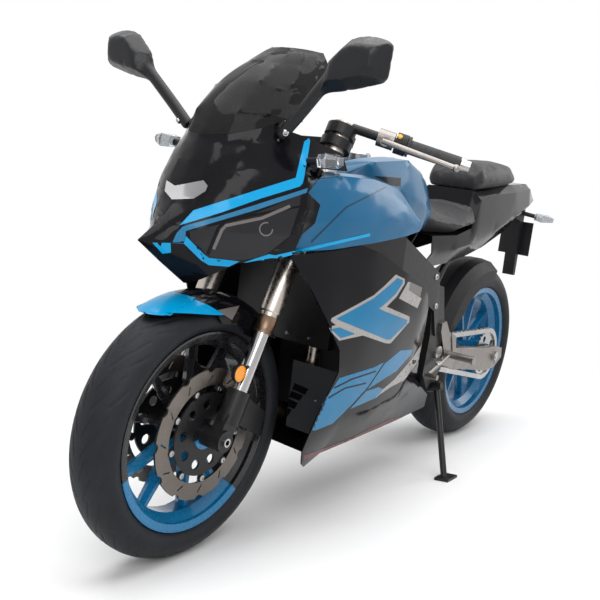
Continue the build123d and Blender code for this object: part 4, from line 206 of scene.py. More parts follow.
def sector(material, middle, across, toward, half_angle, other):
    """The paint kept inside a sector about an axle, and another paint outside it."""
    nodes, links = material.node_tree.nodes, material.node_tree.links
    shader = nodes["Principled BSDF"]
    paint = shader.inputs["Base Color"].links[0].from_socket
    place = nodes.new("ShaderNodeTexCoord")
    arm = nodes.new("ShaderNodeVectorMath")
    arm.operation = "SUBTRACT"
    arm.inputs[1].default_value = middle
    links.new(place.outputs["Object"], arm.inputs[0])
    parts = []
    for direction in (toward, across.cross(toward)):
        dot = nodes.new("ShaderNodeVectorMath")
        dot.operation = "DOT_PRODUCT"
        dot.inputs[1].default_value = direction
        links.new(arm.outputs["Vector"], dot.inputs[0])
        parts.append(dot.outputs["Value"])
    angle = nodes.new("ShaderNodeMath")
    angle.operation = "ARCTAN2"
    links.new(parts[1], angle.inputs[0])
    links.new(parts[0], angle.inputs[1])
    size = nodes.new("ShaderNodeMath")
    size.operation = "ABSOLUTE"
    links.new(angle.outputs["Value"], size.inputs[0])
    edge = spread(nodes, links, size.outputs["Value"], 0, 1, half_angle - SECTOR_BLUR, half_angle + SECTOR_BLUR)
    blend = nodes.new("ShaderNodeMix")
    blend.data_type = "RGBA"
    links.new(paint, blend.inputs["A"])
    blend.inputs["B"].default_value = (*other, 1)
    links.new(edge, blend.inputs["Factor"])
    links.new(blend.outputs["Result"], shader.inputs["Base Color"])


STEEL_BLUE = (0.004, 0.098, 0.215)
GLOSS = {"coat": 0.1, "vary": 0.05, "swing": 0.03, "shine": 0.2}
WHEEL = {"coat": 0.4, "vary": 0.06, "patch": 12, "grain": 0.05, "shine": 0.3}
SURFACES = {
    "tyre": finish("tyre_rubber", (0.0085, 0.0095, 0.0125), 0.55, vary=0.25, patch=22, grain=0.3, grain_size=1500,
                   shine=0.25),
    # Wheel blue: the rims' blue paint, set darker than the front rim's blue in TWO_TONE as painted shade on the
    # wheels.
    "blue_wheel": finish("wheel_blue_painted_shade", (0.003, 0.12, 0.27), 0.28, **WHEEL),
    "rotor_steel": finish("rotor_ground", (0.17, 0.15, 0.135), 0.34, metal=1.0, vary=0.12, grain=0.12,
                          grain_size=1300),
    "bright_steel": finish("steel_bright", (0.42, 0.41, 0.41), 0.26, metal=1.0, grain=0.05),
    "chromed_steel": finish("steel_chromed", (0.4, 0.39, 0.39), 0.14, metal=1.0, swing=0.03, vary=0.06),
    "black_alloy": finish("alloy_black", (0.008, 0.008, 0.009), 0.36, vary=0.2, grain=0.14, grain_size=1600,
                          shine=0.3),
    "frame_black": finish("frame_satin_black", (0.011, 0.0105, 0.011), 0.36, vary=0.2, grain=0.1, grain_size=1400,
                          shine=0.3),
    "bronze_alloy": finish("fork_bronze", (0.5, 0.45, 0.41), 0.3, metal=1.0, vary=0.08, grain=0.03),
    "silver_alloy": finish("alloy_silver", (0.26, 0.24, 0.225), 0.38, metal=1.0, vary=0.1, grain=0.16,
                           grain_size=1100),
    "engine_alloy": finish("engine_dark", (0.012, 0.012, 0.013), 0.45, vary=0.2, grain=0.3, grain_size=900, shine=0.3),
    "pipe_steel": finish("pipe_tinted", (0.34, 0.31, 0.28), 0.3, metal=1.0, vary=0.15, patch=6,
                         second=(0.26, 0.2, 0.17)),
    "spring_steel": finish("spring_painted", (0.03, 0.03, 0.032), 0.32, coat=0.4),
    "grip_rubber": finish("grip_rubber", (0.022, 0.022, 0.023), 0.7, vary=0.2, grain=0.4, grain_size=1300),
    "matte_black": finish("plastic_matt", (0.006, 0.006, 0.0075), 0.5, vary=0.18, grain=0.3, grain_size=1500,
                          shine=0.28),
    "mirror_shell": finish("mirror_slate", (0.007, 0.0075, 0.009), 0.34, vary=0.15, grain=0.16, grain_size=1500,
                           shine=0.3),
    "grey_plastic": finish("plastic_grey", (0.028, 0.03, 0.034), 0.5, vary=0.12, grain=0.25, grain_size=1400,
                           shine=0.3),
    "black_gloss": finish("fairing_black", (0.004, 0.004, 0.0055), 0.12, coat=0.07, vary=0.3, swing=0.03,
                          shine=0.11),
    "blue_plastic": finish("fairing_blue", STEEL_BLUE, 0.2, **GLOSS),
    "blue_paint": finish("tank_blue", scaled(STEEL_BLUE, 0.9), 0.2, **GLOSS),
    "smoked_screen": clear("screen_smoke", (0.022, 0.022, 0.022), 0.02, 0.45, shine=0.3, coat=0.05, bend=1.12),
    "lamp_red": clear("lamp_red", (0.6, 0.01, 0.01), 0.04, 0.6),
    "lamp_clear": clear("lamp_clear", (0.42, 0.44, 0.46), 0.03, 0.8),
    "seat_cover": finish("seat_vinyl", (0.0065, 0.0065, 0.008), 0.5, vary=0.15, grain=0.35, grain_size=1700,
                         cells=True, sheen=0.08, shine=0.3),
}
SLOT_OF = {}
for title, node in NODES.items():
    for slot in node.material_slots:
        SLOT_OF[title] = slot.material.name.split(".")[0]
        slot.material = SURFACES[SLOT_OF[title]]
front_hub = Vector(next(j["pos_m"] for j in frame["joints"] if j["name"] == "front_wheel_spin"))
TWO_TONE = finish("wheel_two_tone", (0.003, 0.15, 0.33), 0.28, **WHEEL)
local = NODES["front_rim"].matrix_world.inverted()
BLUE_MIDDLE, BLUE_HALF = math.radians(17), math.radians(57)
RIM_BLACK = (0.007, 0.007, 0.009)
sector(TWO_TONE, local @ front_hub, turned(0, 1, 0), turned(math.sin(BLUE_MIDDLE), 0, -math.cos(BLUE_MIDDLE)),
       BLUE_HALF, RIM_BLACK)
for slot in NODES["front_rim"].material_slots:
    slot.material = TWO_TONE


# Panels: the CAD shells with their faces joined and rounded, and their folds kept

MERGE_WITHIN = 0.00008
SPLIT_ROUNDS, SPLIT_OVER = 7, 1.4
OUTWARD = 0.2
SKIN_THICK = 0.003
LENS_EDGE = 43.5 * MM
SHELLS = {}


def surfaced(name, form, material, body, mods=()):
    """A piece of this form that rides on a body, with its paint and its modifiers."""
    mesh = bpy.data.meshes.new(name)
    for face in form.faces:
        face.smooth = True
    form.to_mesh(mesh)
    form.free()
    if "custom_normal" in mesh.attributes:
        mesh.attributes.remove(mesh.attributes["custom_normal"])
    mesh.materials.clear()
    mesh.materials.append(material)
    piece = bpy.data.objects.new(name, mesh)
    bpy.context.scene.collection.objects.link(piece)
    for kind, settings in mods:
        modifier = piece.modifiers.new(kind.lower(), kind)
        for key, value in settings.items():
            setattr(modifier, key, value)
    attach(piece, body)
    return piece


def fine_mesh(node, fold, edge_mm, keep=None):
    """The node's mesh with its long edges split, and its folds marked sharp."""
    form = bmesh.new()
    form.from_mesh(NODES[node].data)
    bmesh.ops.remove_doubles(form, verts=form.verts, dist=MERGE_WITHIN)
    if keep:
        drop = [v for v in form.verts if not keep(UPRIGHT @ NODES[node].matrix_world @ v.co)]
        bmesh.ops.delete(form, geom=drop, context="VERTS")
    for edge in form.edges:
        edge.smooth = len(edge.link_faces) == 2 and edge.calc_face_angle(0) < math.radians(fold)
    for _ in range(SPLIT_ROUNDS):
        long_edges = [e for e in form.edges if e.calc_length() > edge_mm * SPLIT_OVER * MM]
        if not long_edges:
            break
        bmesh.ops.subdivide_edges(form, edges=long_edges, cuts=1)
        bmesh.ops.triangulate(form, faces=[f for f in form.faces if len(f.verts) > 3])
    return form


def eased(form, passes):
    """Facets between the folds relaxed into smooth skin. The folds themselves keep their place."""
    form.verts.index_update()
    places = np.array([v.co for v in form.verts])
    count = len(places)
    free = np.ones(count, bool)
    for edge in form.edges:
        if not edge.smooth:
            free[[edge.verts[0].index, edge.verts[1].index]] = False
    ends = np.array([(e.verts[0].index, e.verts[1].index) for e in form.edges])
    number = np.bincount(ends.ravel(), minlength=count)[:, None]
    for _ in range(passes):
        total = np.zeros_like(places)
        np.add.at(total, ends[:, 0], places[ends[:, 1]])
        np.add.at(total, ends[:, 1], places[ends[:, 0]])
        middle = total / number
        places[free] += 0.5 * (middle[free] - places[free])
    for vert, place in zip(form.verts, places):
        vert.co = place


def rounded(node, name, fold=30, edge_mm=12, passes=24, body="chassis", material=None, keep=None, inside=None):
    """The node's shell with smooth skin. With a place inside it, only its outer skin, thickened again."""
    slot = SLOT_OF[node]
    form = fine_mesh(node, fold, edge_mm, keep)
    mods = ()
    if inside:
        heart = NODES[node].matrix_world.inverted() @ spot(*inside)
        form.normal_update()
        hidden = [f for f in form.faces
                  if f.normal.dot((f.calc_center_median() - heart).normalized()) < OUTWARD]
        bmesh.ops.delete(form, geom=hidden, context="FACES")
        for edge in form.edges:
            edge.smooth = edge.smooth and len(edge.link_faces) == 2
        mods = (("SOLIDIFY", {"thickness": SKIN_THICK, "offset": -1}),)
    eased(form, passes)
    piece = surfaced(name, form, material or SURFACES[slot], body, mods=mods)
    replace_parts(piece, node)
    SHELLS.setdefault(node, []).append(piece)


LENS_DARK = clear("lens_dark", (0.012, 0.012, 0.015), 0.02, 0.25, shine=0.25, coat=0.1)
rounded("nose_cowl", "nose_shell", fold=33)
rounded("shoulder_panels", "shoulder_shells", fold=34)
rounded("side_fairings", "side_shells", fold=34)
rounded("belly_pan", "belly_shell", fold=34)
rounded("windscreen", "screen_shell", fold=60, edge_mm=10, passes=30, inside=(850, 0, 850))
rounded("fuel_tank", "tank_shell", fold=62)
rounded("tail_cowl", "tail_shell", fold=40)
rounded("mirrors", "mirror_shells", fold=120, edge_mm=6, passes=8)
rounded("front_mudguard", "mudguard_shell", fold=50, edge_mm=9, passes=10, body="steering",
        material=SURFACES["black_gloss"])
rounded("headlamps", "headlamp_lenses", fold=40, material=LENS_DARK, keep=lambda at: abs(at.y) > LENS_EDGE)
rounded("headlamps", "brow_plate", fold=40, material=SURFACES["black_gloss"], keep=lambda at: abs(at.y) < LENS_EDGE)


# Seats: swollen by a cloth simulation over the CAD pads, held along their undersides

CUSHION_CAP = 0.008
CLOTH_FRAMES = 20
UNDERSIDE = -0.25


def cushion(node, name, pressure=4.0, voxel=0.006):
    """The pad's own mesh made even, swollen by at most the cap, and turned into a soft piece."""
    mesh = NODES[node].data.copy()
    mesh.name = name
    if "custom_normal" in mesh.attributes:
        mesh.attributes.remove(mesh.attributes["custom_normal"])
    piece = bpy.data.objects.new(name, mesh)
    bpy.context.scene.collection.objects.link(piece)
    remesh = piece.modifiers.new("remesh", "REMESH")
    remesh.mode, remesh.voxel_size = "VOXEL", voxel
    relax = piece.modifiers.new("relax", "SMOOTH")
    relax.factor, relax.iterations = 0.5, 6
    baked = bpy.data.meshes.new_from_object(piece.evaluated_get(bpy.context.evaluated_depsgraph_get()))
    piece.modifiers.clear()
    piece.data = baked
    rest = [v.co.copy() for v in baked.vertices]
    held = piece.vertex_groups.new(name="held")
    held.add([v.index for v in baked.vertices if v.normal.z < UNDERSIDE], 1.0, "REPLACE")
    cloth = piece.modifiers.new("cloth", "CLOTH")
    cloth.settings.use_pressure = True
    cloth.settings.uniform_pressure_force = pressure
    cloth.settings.effector_weights.gravity = 0
    cloth.settings.vertex_group_mass = "held"
    scene = bpy.context.scene
    for step in range(1, CLOTH_FRAMES + 1):
        scene.frame_set(step)
    swollen = bpy.data.meshes.new_from_object(piece.evaluated_get(bpy.context.evaluated_depsgraph_get()))
    piece.modifiers.clear()
    for vert, start in zip(swollen.vertices, rest):
        move = vert.co - start
        if move.length > CUSHION_CAP:
            vert.co = start + move.normalized() * CUSHION_CAP
    piece.data = swollen
    scene.frame_set(1)
    for polygon in piece.data.polygons:
        polygon.use_smooth = True
    piece.data.materials.clear()
    piece.data.materials.append(SURFACES["seat_cover"])
    dense = piece.modifiers.new("dense", "SUBSURF")
    dense.levels = dense.render_levels = 1
    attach(piece, "chassis")
    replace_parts(piece, node)
    SHELLS[node] = [piece]


cushion("rider_seat", "rider_cushion")
cushion("pillion_seat", "pillion_cushion")


# Graphics and painted shade: outlines seen from the camera, laid on the panels, and mirrored to the other side.
# A face whose corners lie further apart in depth than TEAR would bridge a gap, and is left out.

SIGHT = 8
TEAR = 0.07
HALVINGS = 9
CUT_SNAP = 0.01


def surface_of(*names):
    """The faces of these nodes, or of the pieces that stand for them, to aim rays at."""
    graph = bpy.context.evaluated_depsgraph_get()
    points, faces = [], []
    for source in [piece for name in names for piece in SHELLS.get(name, [NODES[name]])]:
        held = source.evaluated_get(graph)
        mesh = held.to_mesh()
        start = len(points)
        points += [source.matrix_world @ v.co for v in mesh.vertices]
        faces += [[start + i for i in p.vertices] for p in mesh.polygons]
        held.to_mesh_clear()
    return BVHTree.FromPolygons(points, faces)


def landed(surface, pixel):
    """Where the camera's ray through a pixel meets the surface, the way it faces, and its depth."""
    place, normal, _, reach = surface.ray_cast(EYE, pixel_ray(*pixel), SIGHT)
    if place is None:
        return None
    if normal.dot(EYE - place) < 0:
        normal = -normal
    return place, normal, reach


def cut_in_cells(outline, step):
    """The outline in pixels as flat faces, cut along a grid so that they can follow a curve."""
    form = bmesh.new()
    corners = [form.verts.new((x, y, 0)) for x, y in outline]
    rims = [Vector((x, y, 0)) for x, y in outline]
    for a, b, c in tessellate_polygon([rims]):
        form.faces.new((corners[a], corners[b], corners[c]))
    for axis in (0, 1):
        low = min(p[axis] for p in outline)
        high = max(p[axis] for p in outline)
        line = math.floor(low / step) * step + step
        while line < high:
            place, normal = [0, 0, 0], [0, 0, 0]
            place[axis], normal[axis] = line, 1
            bmesh.ops.bisect_plane(form, geom=form.verts[:] + form.edges[:] + form.faces[:], dist=CUT_SNAP,
                                   plane_co=place, plane_no=normal)
            line += step
    return form


def decal(name, outline, targets, material, lift=0.5, step=4, both=True, body="chassis"):
    """The outline laid on the targets, lifted off them, and mirrored if both sides have it."""
    surface = surface_of(*targets)
    form = cut_in_cells(outline, step)
    hits = {}
    for vert in form.verts:
        hits[vert] = landed(surface, vert.co.xy)
    found = [v.co.xy.copy() for v in form.verts if hits[v]]
    if not found:
        print("DECAL with no surface:", name)
        return
    for vert in form.verts:
        if not hits[vert]:
            good = min(found, key=lambda p: (p - vert.co.xy).length)
            bad = vert.co.xy.copy()
            for _ in range(HALVINGS):
                half = (good + bad) / 2
                if landed(surface, half):
                    good = half
                else:
                    bad = half
            hits[vert] = landed(surface, good)
    depths = {f: [hits[v][2] for v in f.verts] for f in form.faces}
    torn = [f for f in form.faces if max(depths[f]) - min(depths[f]) > TEAR]
    bmesh.ops.delete(form, geom=torn, context="FACES")
    for vert in form.verts:
        place, normal, _ = hits[vert]
        vert.co = place + normal * (lift * MM)
    if both:
        twin = bmesh.ops.duplicate(form, geom=form.verts[:] + form.edges[:] + form.faces[:])["geom"]
        for item in twin:
            if isinstance(item, bmesh.types.BMVert):
                item.co = MIRROR @ item.co
        bmesh.ops.reverse_faces(form, faces=[f for f in twin if isinstance(f, bmesh.types.BMFace)])
    bmesh.ops.recalc_face_normals(form, faces=form.faces)
    surfaced(name, form, material, body)


def band(line, width, end_width=None):
    """The outline of a stripe of this width, in pixels, along a line."""
    end_width = width if end_width is None else end_width
    left, right = [], []
    for i, (x, y) in enumerate(line):
        before = Vector(line[max(0, i - 1)])
        after = Vector(line[min(len(line) - 1, i + 1)])
        wide = width + (end_width - width) * i / (len(line) - 1)
        side = (after - before).normalized().orthogonal() * wide / 2
        left.append((x + side.x, y + side.y))
        right.append((x - side.x, y - side.y))
    return left + right[::-1]


bpy.context.view_layer.update()
GRAPHIC_BLUE = finish("graphic_blue", (0.0, 0.3, 0.6), 0.2, coat=0.1, vary=0.04, swing=0.03, shine=0.2)
GRAPHIC_SIDE = finish("graphic_side_blue", (0.003, 0.15, 0.31), 0.2, **GLOSS)
GRAPHIC_STEEL = finish("graphic_steel_blue", (0.022, 0.16, 0.31), 0.2, **GLOSS)
GRAPHIC_SILVER = finish("graphic_silver", (0.3, 0.285, 0.275), 0.3, coat=0.1, vary=0.06, shine=0.3)
GRAPHIC_GREY = finish("graphic_grey", (0.13, 0.12, 0.115), 0.35, coat=0.1, vary=0.06, shine=0.3)
GRAPHIC_RED = finish("graphic_red", (0.1, 0.012, 0.018), 0.3, coat=0.1, vary=0.1, shine=0.2)
# Black for printed marks and trim, and for the painted shade in the lamp well, the shoulder gap, the shoulder crease's
# neighbours and the vent slots.
BLACK_PRINT_AND_SHADE = finish("black_print_and_painted_shade", (0.0035, 0.0035, 0.005), 0.15, coat=0.05, vary=0.2, shine=0.11)
PLATE_GREY = finish("plate_warm_grey", (0.22, 0.2, 0.185), 0.42, metal=0.6, vary=0.05, grain=0.1)

NOSE = ("nose_cowl", "shoulder_panels", "headlamps", "side_fairings")
decal("nose_stripe", [(179.8, 225.2), (193.6, 210.3), (220, 201.9), (260, 189), (295.7, 177.8), (304.2, 141.4),
                      (309.9, 137.2), (309.9, 142.2), (304.2, 177.4), (302.6, 183.5), (299.6, 186.6), (260, 198.8),
                      (220, 213)], NOSE, GRAPHIC_BLUE)
decal("nose_second_stripe", [(172, 242.8), (176.7, 232.9), (182.8, 226.5), (220, 216), (260, 203.4), (308, 188),
                             (306.5, 192.7), (260, 208.8), (220, 220.6), (185.9, 231), (185.5, 236), (184, 243.6)],
      NOSE, GRAPHIC_STEEL)
decal("nose_lower_stripe", [(185.9, 236), (205, 255), (208.9, 257.8), (239.5, 261.2), (228.8, 266.6), (208.9, 265),
                            (201.2, 260.4), (184, 243.6)], NOSE, GRAPHIC_BLUE, step=2)
decal("beak_tip", [(152.2, 242.5), (157, 242.5), (160.5, 246.5), (162, 242.5), (170.5, 242.8), (171, 252.5),
                   (162.5, 253.6)], ("nose_cowl",), GRAPHIC_BLUE, both=False)

SIDE = ("side_fairings", "shoulder_panels", "belly_pan")
LAMPS = ("headlamps", "nose_cowl")
DAY_LENS = clear("day_lens", (0.3, 0.3, 0.31), 0.05, 0.35)
# Painted shade: a black sheet laid round the day lamp for the dark recess it sits in.
decal("day_lamp_well_shade", [(152, 176), (163, 172), (168, 178), (205, 177), (211, 186), (207, 194), (194, 203), (171, 203),
                        (164, 240), (155, 240)], LAMPS, BLACK_PRINT_AND_SHADE, lift=0.5, both=False)
decal("lamp_line", band([(213.5, 249), (222, 229.5), (226, 225.5), (262, 218), (290, 206)], 3.2), LAMPS,
      GRAPHIC_GREY, lift=0.7)
decal("day_lamp", [(166.8, 180.4), (175.2, 185.8), (203.5, 180.4), (207.7, 185.8), (205.8, 191), (193.6, 198.8),
                   (172, 199.6), (164.9, 191)], LAMPS, DAY_LENS, lift=0.8, both=False)
decal("second_low_stripe", [(240, 263.5), (269, 254), (275.2, 255.2), (370, 233), (370, 236.2), (300, 252.6),
                            (250, 266)], NOSE, GRAPHIC_BLUE, lift=0.6, step=2)
# Painted shade: a thin dark blue band laid along the shoulder crease.
SHADE_BLUE = finish("painted_shadow_blue", (0.001, 0.03, 0.07), 0.3, coat=0.1, vary=0.05, shine=0.2)
decal("shoulder_crease_shade", band([(311, 242.4), (346, 207.4), (386, 187)], 1.8, 1), NOSE, SHADE_BLUE)
decal("shoulder_front", [(303, 165), (329.2, 170.5), (320, 178), (308, 192.7), (320.2, 204.9), (314.9, 223.3),
                         (295.7, 240), (282, 252.8), (300, 250.5), (360, 235), (360, 237.3), (276, 257), (262, 258),
                         (290, 236), (300, 205)], NOSE, BLACK_PRINT_AND_SHADE, lift=0.4)
decal("lamp_border", band([(207.5, 254.5), (218, 228.5), (225, 221.5), (262, 213.5), (305, 205.5)], 3.4, 2), LAMPS,
      BLACK_PRINT_AND_SHADE, lift=0.4)
RING_X, RING_Y, RING_RADIUS, RING_STEPS, RING_TURNS = 266, 229, 6.5, 20, 17
LENS_RING = [(RING_X + RING_RADIUS * math.cos(a), RING_Y + RING_RADIUS * math.sin(a))
             for a in (math.tau * i / RING_STEPS for i in range(RING_TURNS))]
decal("lamp_projector", band(LENS_RING, 1.4), LAMPS, GRAPHIC_GREY, lift=0.7, step=2)
# Painted shade: a black sheet laid where the shoulder panel meets the tank, for the shade in the gap between them.
decal("shoulder_gap_shade", [(373.6, 175.9), (401, 178), (400.3, 186.6), (391, 185)], ("shoulder_panels", "fuel_tank"),
      BLACK_PRINT_AND_SHADE)
decal("side_mark_rim", [(395.7, 274.5), (404.9, 279.1), (404.5, 283.7), (396.5, 296.7), (386.6, 306.7),
                        (409.5, 316.6), (409.1, 322), (390.4, 343.4), (385.8, 343.4), (362.8, 335.4),
                        (339.1, 340.7), (326.9, 327.3), (335.7, 325), (330.7, 321.2), (331.5, 318.1),
                        (354.4, 305.9), (373.6, 295.2), (385, 285.2)], SIDE, GRAPHIC_SILVER, lift=0.4)
decal("side_mark", [(397.3, 278), (402.6, 279.9), (402.2, 283.7), (395, 294.4), (383.5, 305.1), (378.9, 308.2),
                    (382.7, 310.5), (407.2, 320.1), (406.5, 323.5), (390.4, 339.2), (386.6, 339.6), (336, 318.9),
                    (354.4, 309), (373.6, 298.3), (387.3, 286.8)], SIDE, GRAPHIC_SIDE, lift=0.8)
decal("side_chip", [(330.7, 329.2), (339.1, 327.3), (355.2, 333.8), (340.7, 338)], SIDE, GRAPHIC_SIDE,
      lift=0.8)
decal("side_light_block", [(408, 281.8), (410.3, 282.2), (408.5, 290), (421.4, 298.3), (417.2, 308.2),
                           (398.8, 298.3), (404.5, 288)], SIDE, GRAPHIC_SILVER)
decal("side_brown_block", [(410.3, 282), (422, 287.5), (420, 297), (408.5, 290)], SIDE, GRAPHIC_GREY,
      lift=0.6)
decal("low_panel", [(339.2, 378.1), (373.3, 367.4), (384, 362.1), (367.2, 387.3), (349.6, 406.5), (332.7, 423.3),
                    (315.9, 430.2), (304.4, 431.7), (329.7, 392.7)], SIDE, GRAPHIC_SIDE, step=2.5)
PINSTRIPES = (((334, 388), (352, 379), (376, 371)), ((328, 398), (345, 388), (366, 383)))
for number, line in enumerate(PINSTRIPES, 1):
    decal("low_pinstripe_%d" % number, band(line, 1.4), SIDE, BLACK_PRINT_AND_SHADE, lift=0.9)
decal("low_blade", [(384.5, 363.5), (400.3, 350.3), (412.6, 349.5), (411, 354.1), (396.5, 370.9), (367.2, 389.5)],
      SIDE, GRAPHIC_SIDE)
decal("low_blade_dark", [(349.6, 409.1), (366, 391), (378, 387), (383, 389), (377.1, 397.3)], SIDE, GRAPHIC_STEEL)
decal("rear_band", [(433.2, 302.8), (434, 313.6), (430.2, 335), (419.5, 359.5), (404.2, 380), (390, 387.3),
                    (375.6, 397.3), (383, 389), (393.5, 380), (411.8, 358.7), (421.8, 343.4), (427.1, 313.6),
                    (427.9, 305.9)], SIDE, GRAPHIC_SILVER)
decal("belly_stripe", band([(300, 459), (351, 440), (390, 421), (425, 415)], 4.2), SIDE, GRAPHIC_RED)
decal("mudguard_blade", [(131, 306), (140, 297), (166, 289), (187.4, 296.4), (208.9, 305.6), (224.2, 314.8),
                         (216.5, 315.2), (189, 313.5), (156.8, 312.5), (131, 312)], ("front_mudguard",),
      GRAPHIC_BLUE, step=2, body="steering")
decal("mudguard_corner", [(217.3, 310.2), (239.5, 305.6), (232, 320)], ("front_mudguard",), GRAPHIC_GREY,
      step=3, body="steering")
# Painted shade: black slits laid on the vents for the shade inside their slots.
for name, slit in (("vent_slot_shade_1", [(295.1, 383.1), (308.8, 389.2), (305, 394.6), (292, 389.2)]),
                   ("vent_slot_shade_2", [(291.2, 390.8), (303.5, 395.4), (299.6, 400.7), (288.9, 396.9)]),
                   ("vent_slot_shade_3", [(288.2, 398.4), (298.1, 403), (294.3, 409.1), (285.9, 405.3)]),
                   ("vent_slot_shade_4", [(284.3, 406.1), (292, 409.9), (286.6, 417.6), (282.8, 414.5)])):
    decal(name, slit, ("inner_vents",), BLACK_PRINT_AND_SHADE, step=3)
decal("arm_plate", [(462.8, 346.6), (495.7, 348.9), (489.6, 368.8), (450.5, 371.1)], ("swingarm",), PLATE_GREY,
      step=3)


# Small hardware, turned on a lathe and set down on the surface that a pixel shows

def lathed(form, place, axis, profile, segments=22):
    """A profile of radii and heights in millimetres turned about the axis, added to the form."""
    axis = axis.normalized()
    side = axis.orthogonal().normalized()
    other = axis.cross(side)
    rings = []
    for radius, height in profile:
        middle = place + axis * (height * MM)
        if radius == 0:
            rings.append([form.verts.new(middle)])
            continue
        rings.append([form.verts.new(middle + (side * math.cos(a) + other * math.sin(a)) * (radius * MM))
                      for a in (math.tau * i / segments for i in range(segments))])
    for low, high in zip(rings, rings[1:]):
        for i in range(segments):
            j = (i + 1) % segments
            if len(low) == 1:
                form.faces.new((low[0], high[j], high[i]))
            elif len(high) == 1:
                form.faces.new((low[i], low[j], high[0]))
            else:
                form.faces.new((low[i], low[j], high[j], high[i]))


def crisp(form, fold=35):
    """The form with its folds marked sharp."""
    for edge in form.edges:
        edge.smooth = len(edge.link_faces) == 2 and edge.calc_face_angle(0) < math.radians(fold)
    return form


def bolt_head(radius, height=4):
    """A button head with a round-cornered socket, and a skirt that sinks into its seat."""
    return [(0, -1), (radius, -1), (radius, height * 0.45), (radius * 0.82, height), (radius * 0.5, height),
            (radius * 0.44, height * 0.2), (0, height * 0.1)]


def hardware(name, pixels, targets, profile, material, body="chassis", both=True):
    """Turned pieces set on the targets where the pixels show them, and on the other side."""
    surface = surface_of(*targets)
    form = bmesh.new()
    for pixel in pixels:
        hit = landed(surface, Vector(pixel))
        if not hit:
            print("HARDWARE with no surface:", name, pixel)
            continue
        lathed(form, hit[0], hit[1], profile)
        if both:
            lathed(form, MIRROR @ hit[0], MIRROR.to_3x3() @ hit[1], profile)
    bmesh.ops.recalc_face_normals(form, faces=form.faces)
    surfaced(name, crisp(form), material, body)


STEEL = SURFACES["bright_steel"]
RIVETS, RIVET_START, RIVET_CIRCLE = 9, 28, 104
RIVET_AIM, RIVET_SEGMENTS = 0.2, 16
RIVET_PROFILE = [(0, -1), (7, -1), (7, 1.4), (5.6, 2.2), (3.4, 2.2), (3, 0.8), (0, 0.8)]
form = bmesh.new()
rotor_faces = surface_of("front_disc_rotors", "front_disc_carriers")
for side in (1, -1):
    for i in range(RIVETS):
        a = math.radians(RIVET_START) + math.tau * i / RIVETS
        spoke = turned(math.cos(a), 0, math.sin(a)) * RIVET_CIRCLE * MM
        aim = front_hub + spoke + turned(0, side, 0) * RIVET_AIM
        hit = rotor_faces.ray_cast(aim, turned(0, -side, 0))
        if hit[0] is not None:
            lathed(form, hit[0], turned(0, side, 0), RIVET_PROFILE, RIVET_SEGMENTS)
bmesh.ops.recalc_face_normals(form, faces=form.faces)
surfaced("front_rotor_rivets", crisp(form), STEEL, "front_wheel")
MIRROR_SEATS = ("mirror_feet", "mirrors", "windscreen")
BAY = ("side_fairings", "engine", "inner_vents", "radiator")
for name, pixels, targets, radius in (
        ("frame_bolts", [(436.5, 276.9), (435.7, 306), (438.3, 363.5)], ("main_frame", "footrests"), 9),
        ("mirror_bolts", [(285.8, 132.6)], MIRROR_SEATS, 7),
        ("mirror_small_bolts", [(278, 140.5)], (*MIRROR_SEATS, "nose_cowl"), 3.4),
        ("fairing_bolts", [(316, 400.7), (287.5, 332.5), (308.8, 338)], BAY, 5)):
    hardware(name, pixels, targets, bolt_head(radius), STEEL)


# Tyres: the CAD outline on a fine grid, with the grooves of the tread let into it

GROOVES = (((0, 10), (26, 22), (56, 38), (92, 50)), ((46, 8), (70, 16), (92, 22)), ((18, 46), (44, 60), (66, 68)))
PITCHES = 20
GROOVE_HALF, GROOVE_DEPTH = 2.6, 2.2
HEART_SHARE = 0.45
TYRE_REACH = 0.2
TYRE_WALL = 0.004


def groove_depths(along, across, pitch):
    """How deep the tread is let in at each place, from its distance to the nearest groove."""
    nearest = np.full(along.shape, 1e3)
    for sign, shift in ((1, 0.0), (-1, pitch / 2)):
        side = across * sign
        phase = np.mod(along + shift, pitch)
        for line in GROOVES:
            for (x1, y1), (x2, y2) in zip(line, line[1:]):
                for wrap in (-pitch, 0, pitch):
                    ax, ay = x1 + wrap, y1
                    dx, dy = x2 - x1, y2 - y1
                    share = np.clip(((phase - ax) * dx + (side - ay) * dy) / (dx * dx + dy * dy), 0, 1)
                    nearest = np.minimum(nearest, np.hypot(phase - ax - share * dx, side - ay - share * dy))
    slope = np.clip((GROOVE_HALF - nearest) / GROOVE_HALF, 0, 1)
    return GROOVE_DEPTH * MM * slope * slope * (3 - 2 * slope)


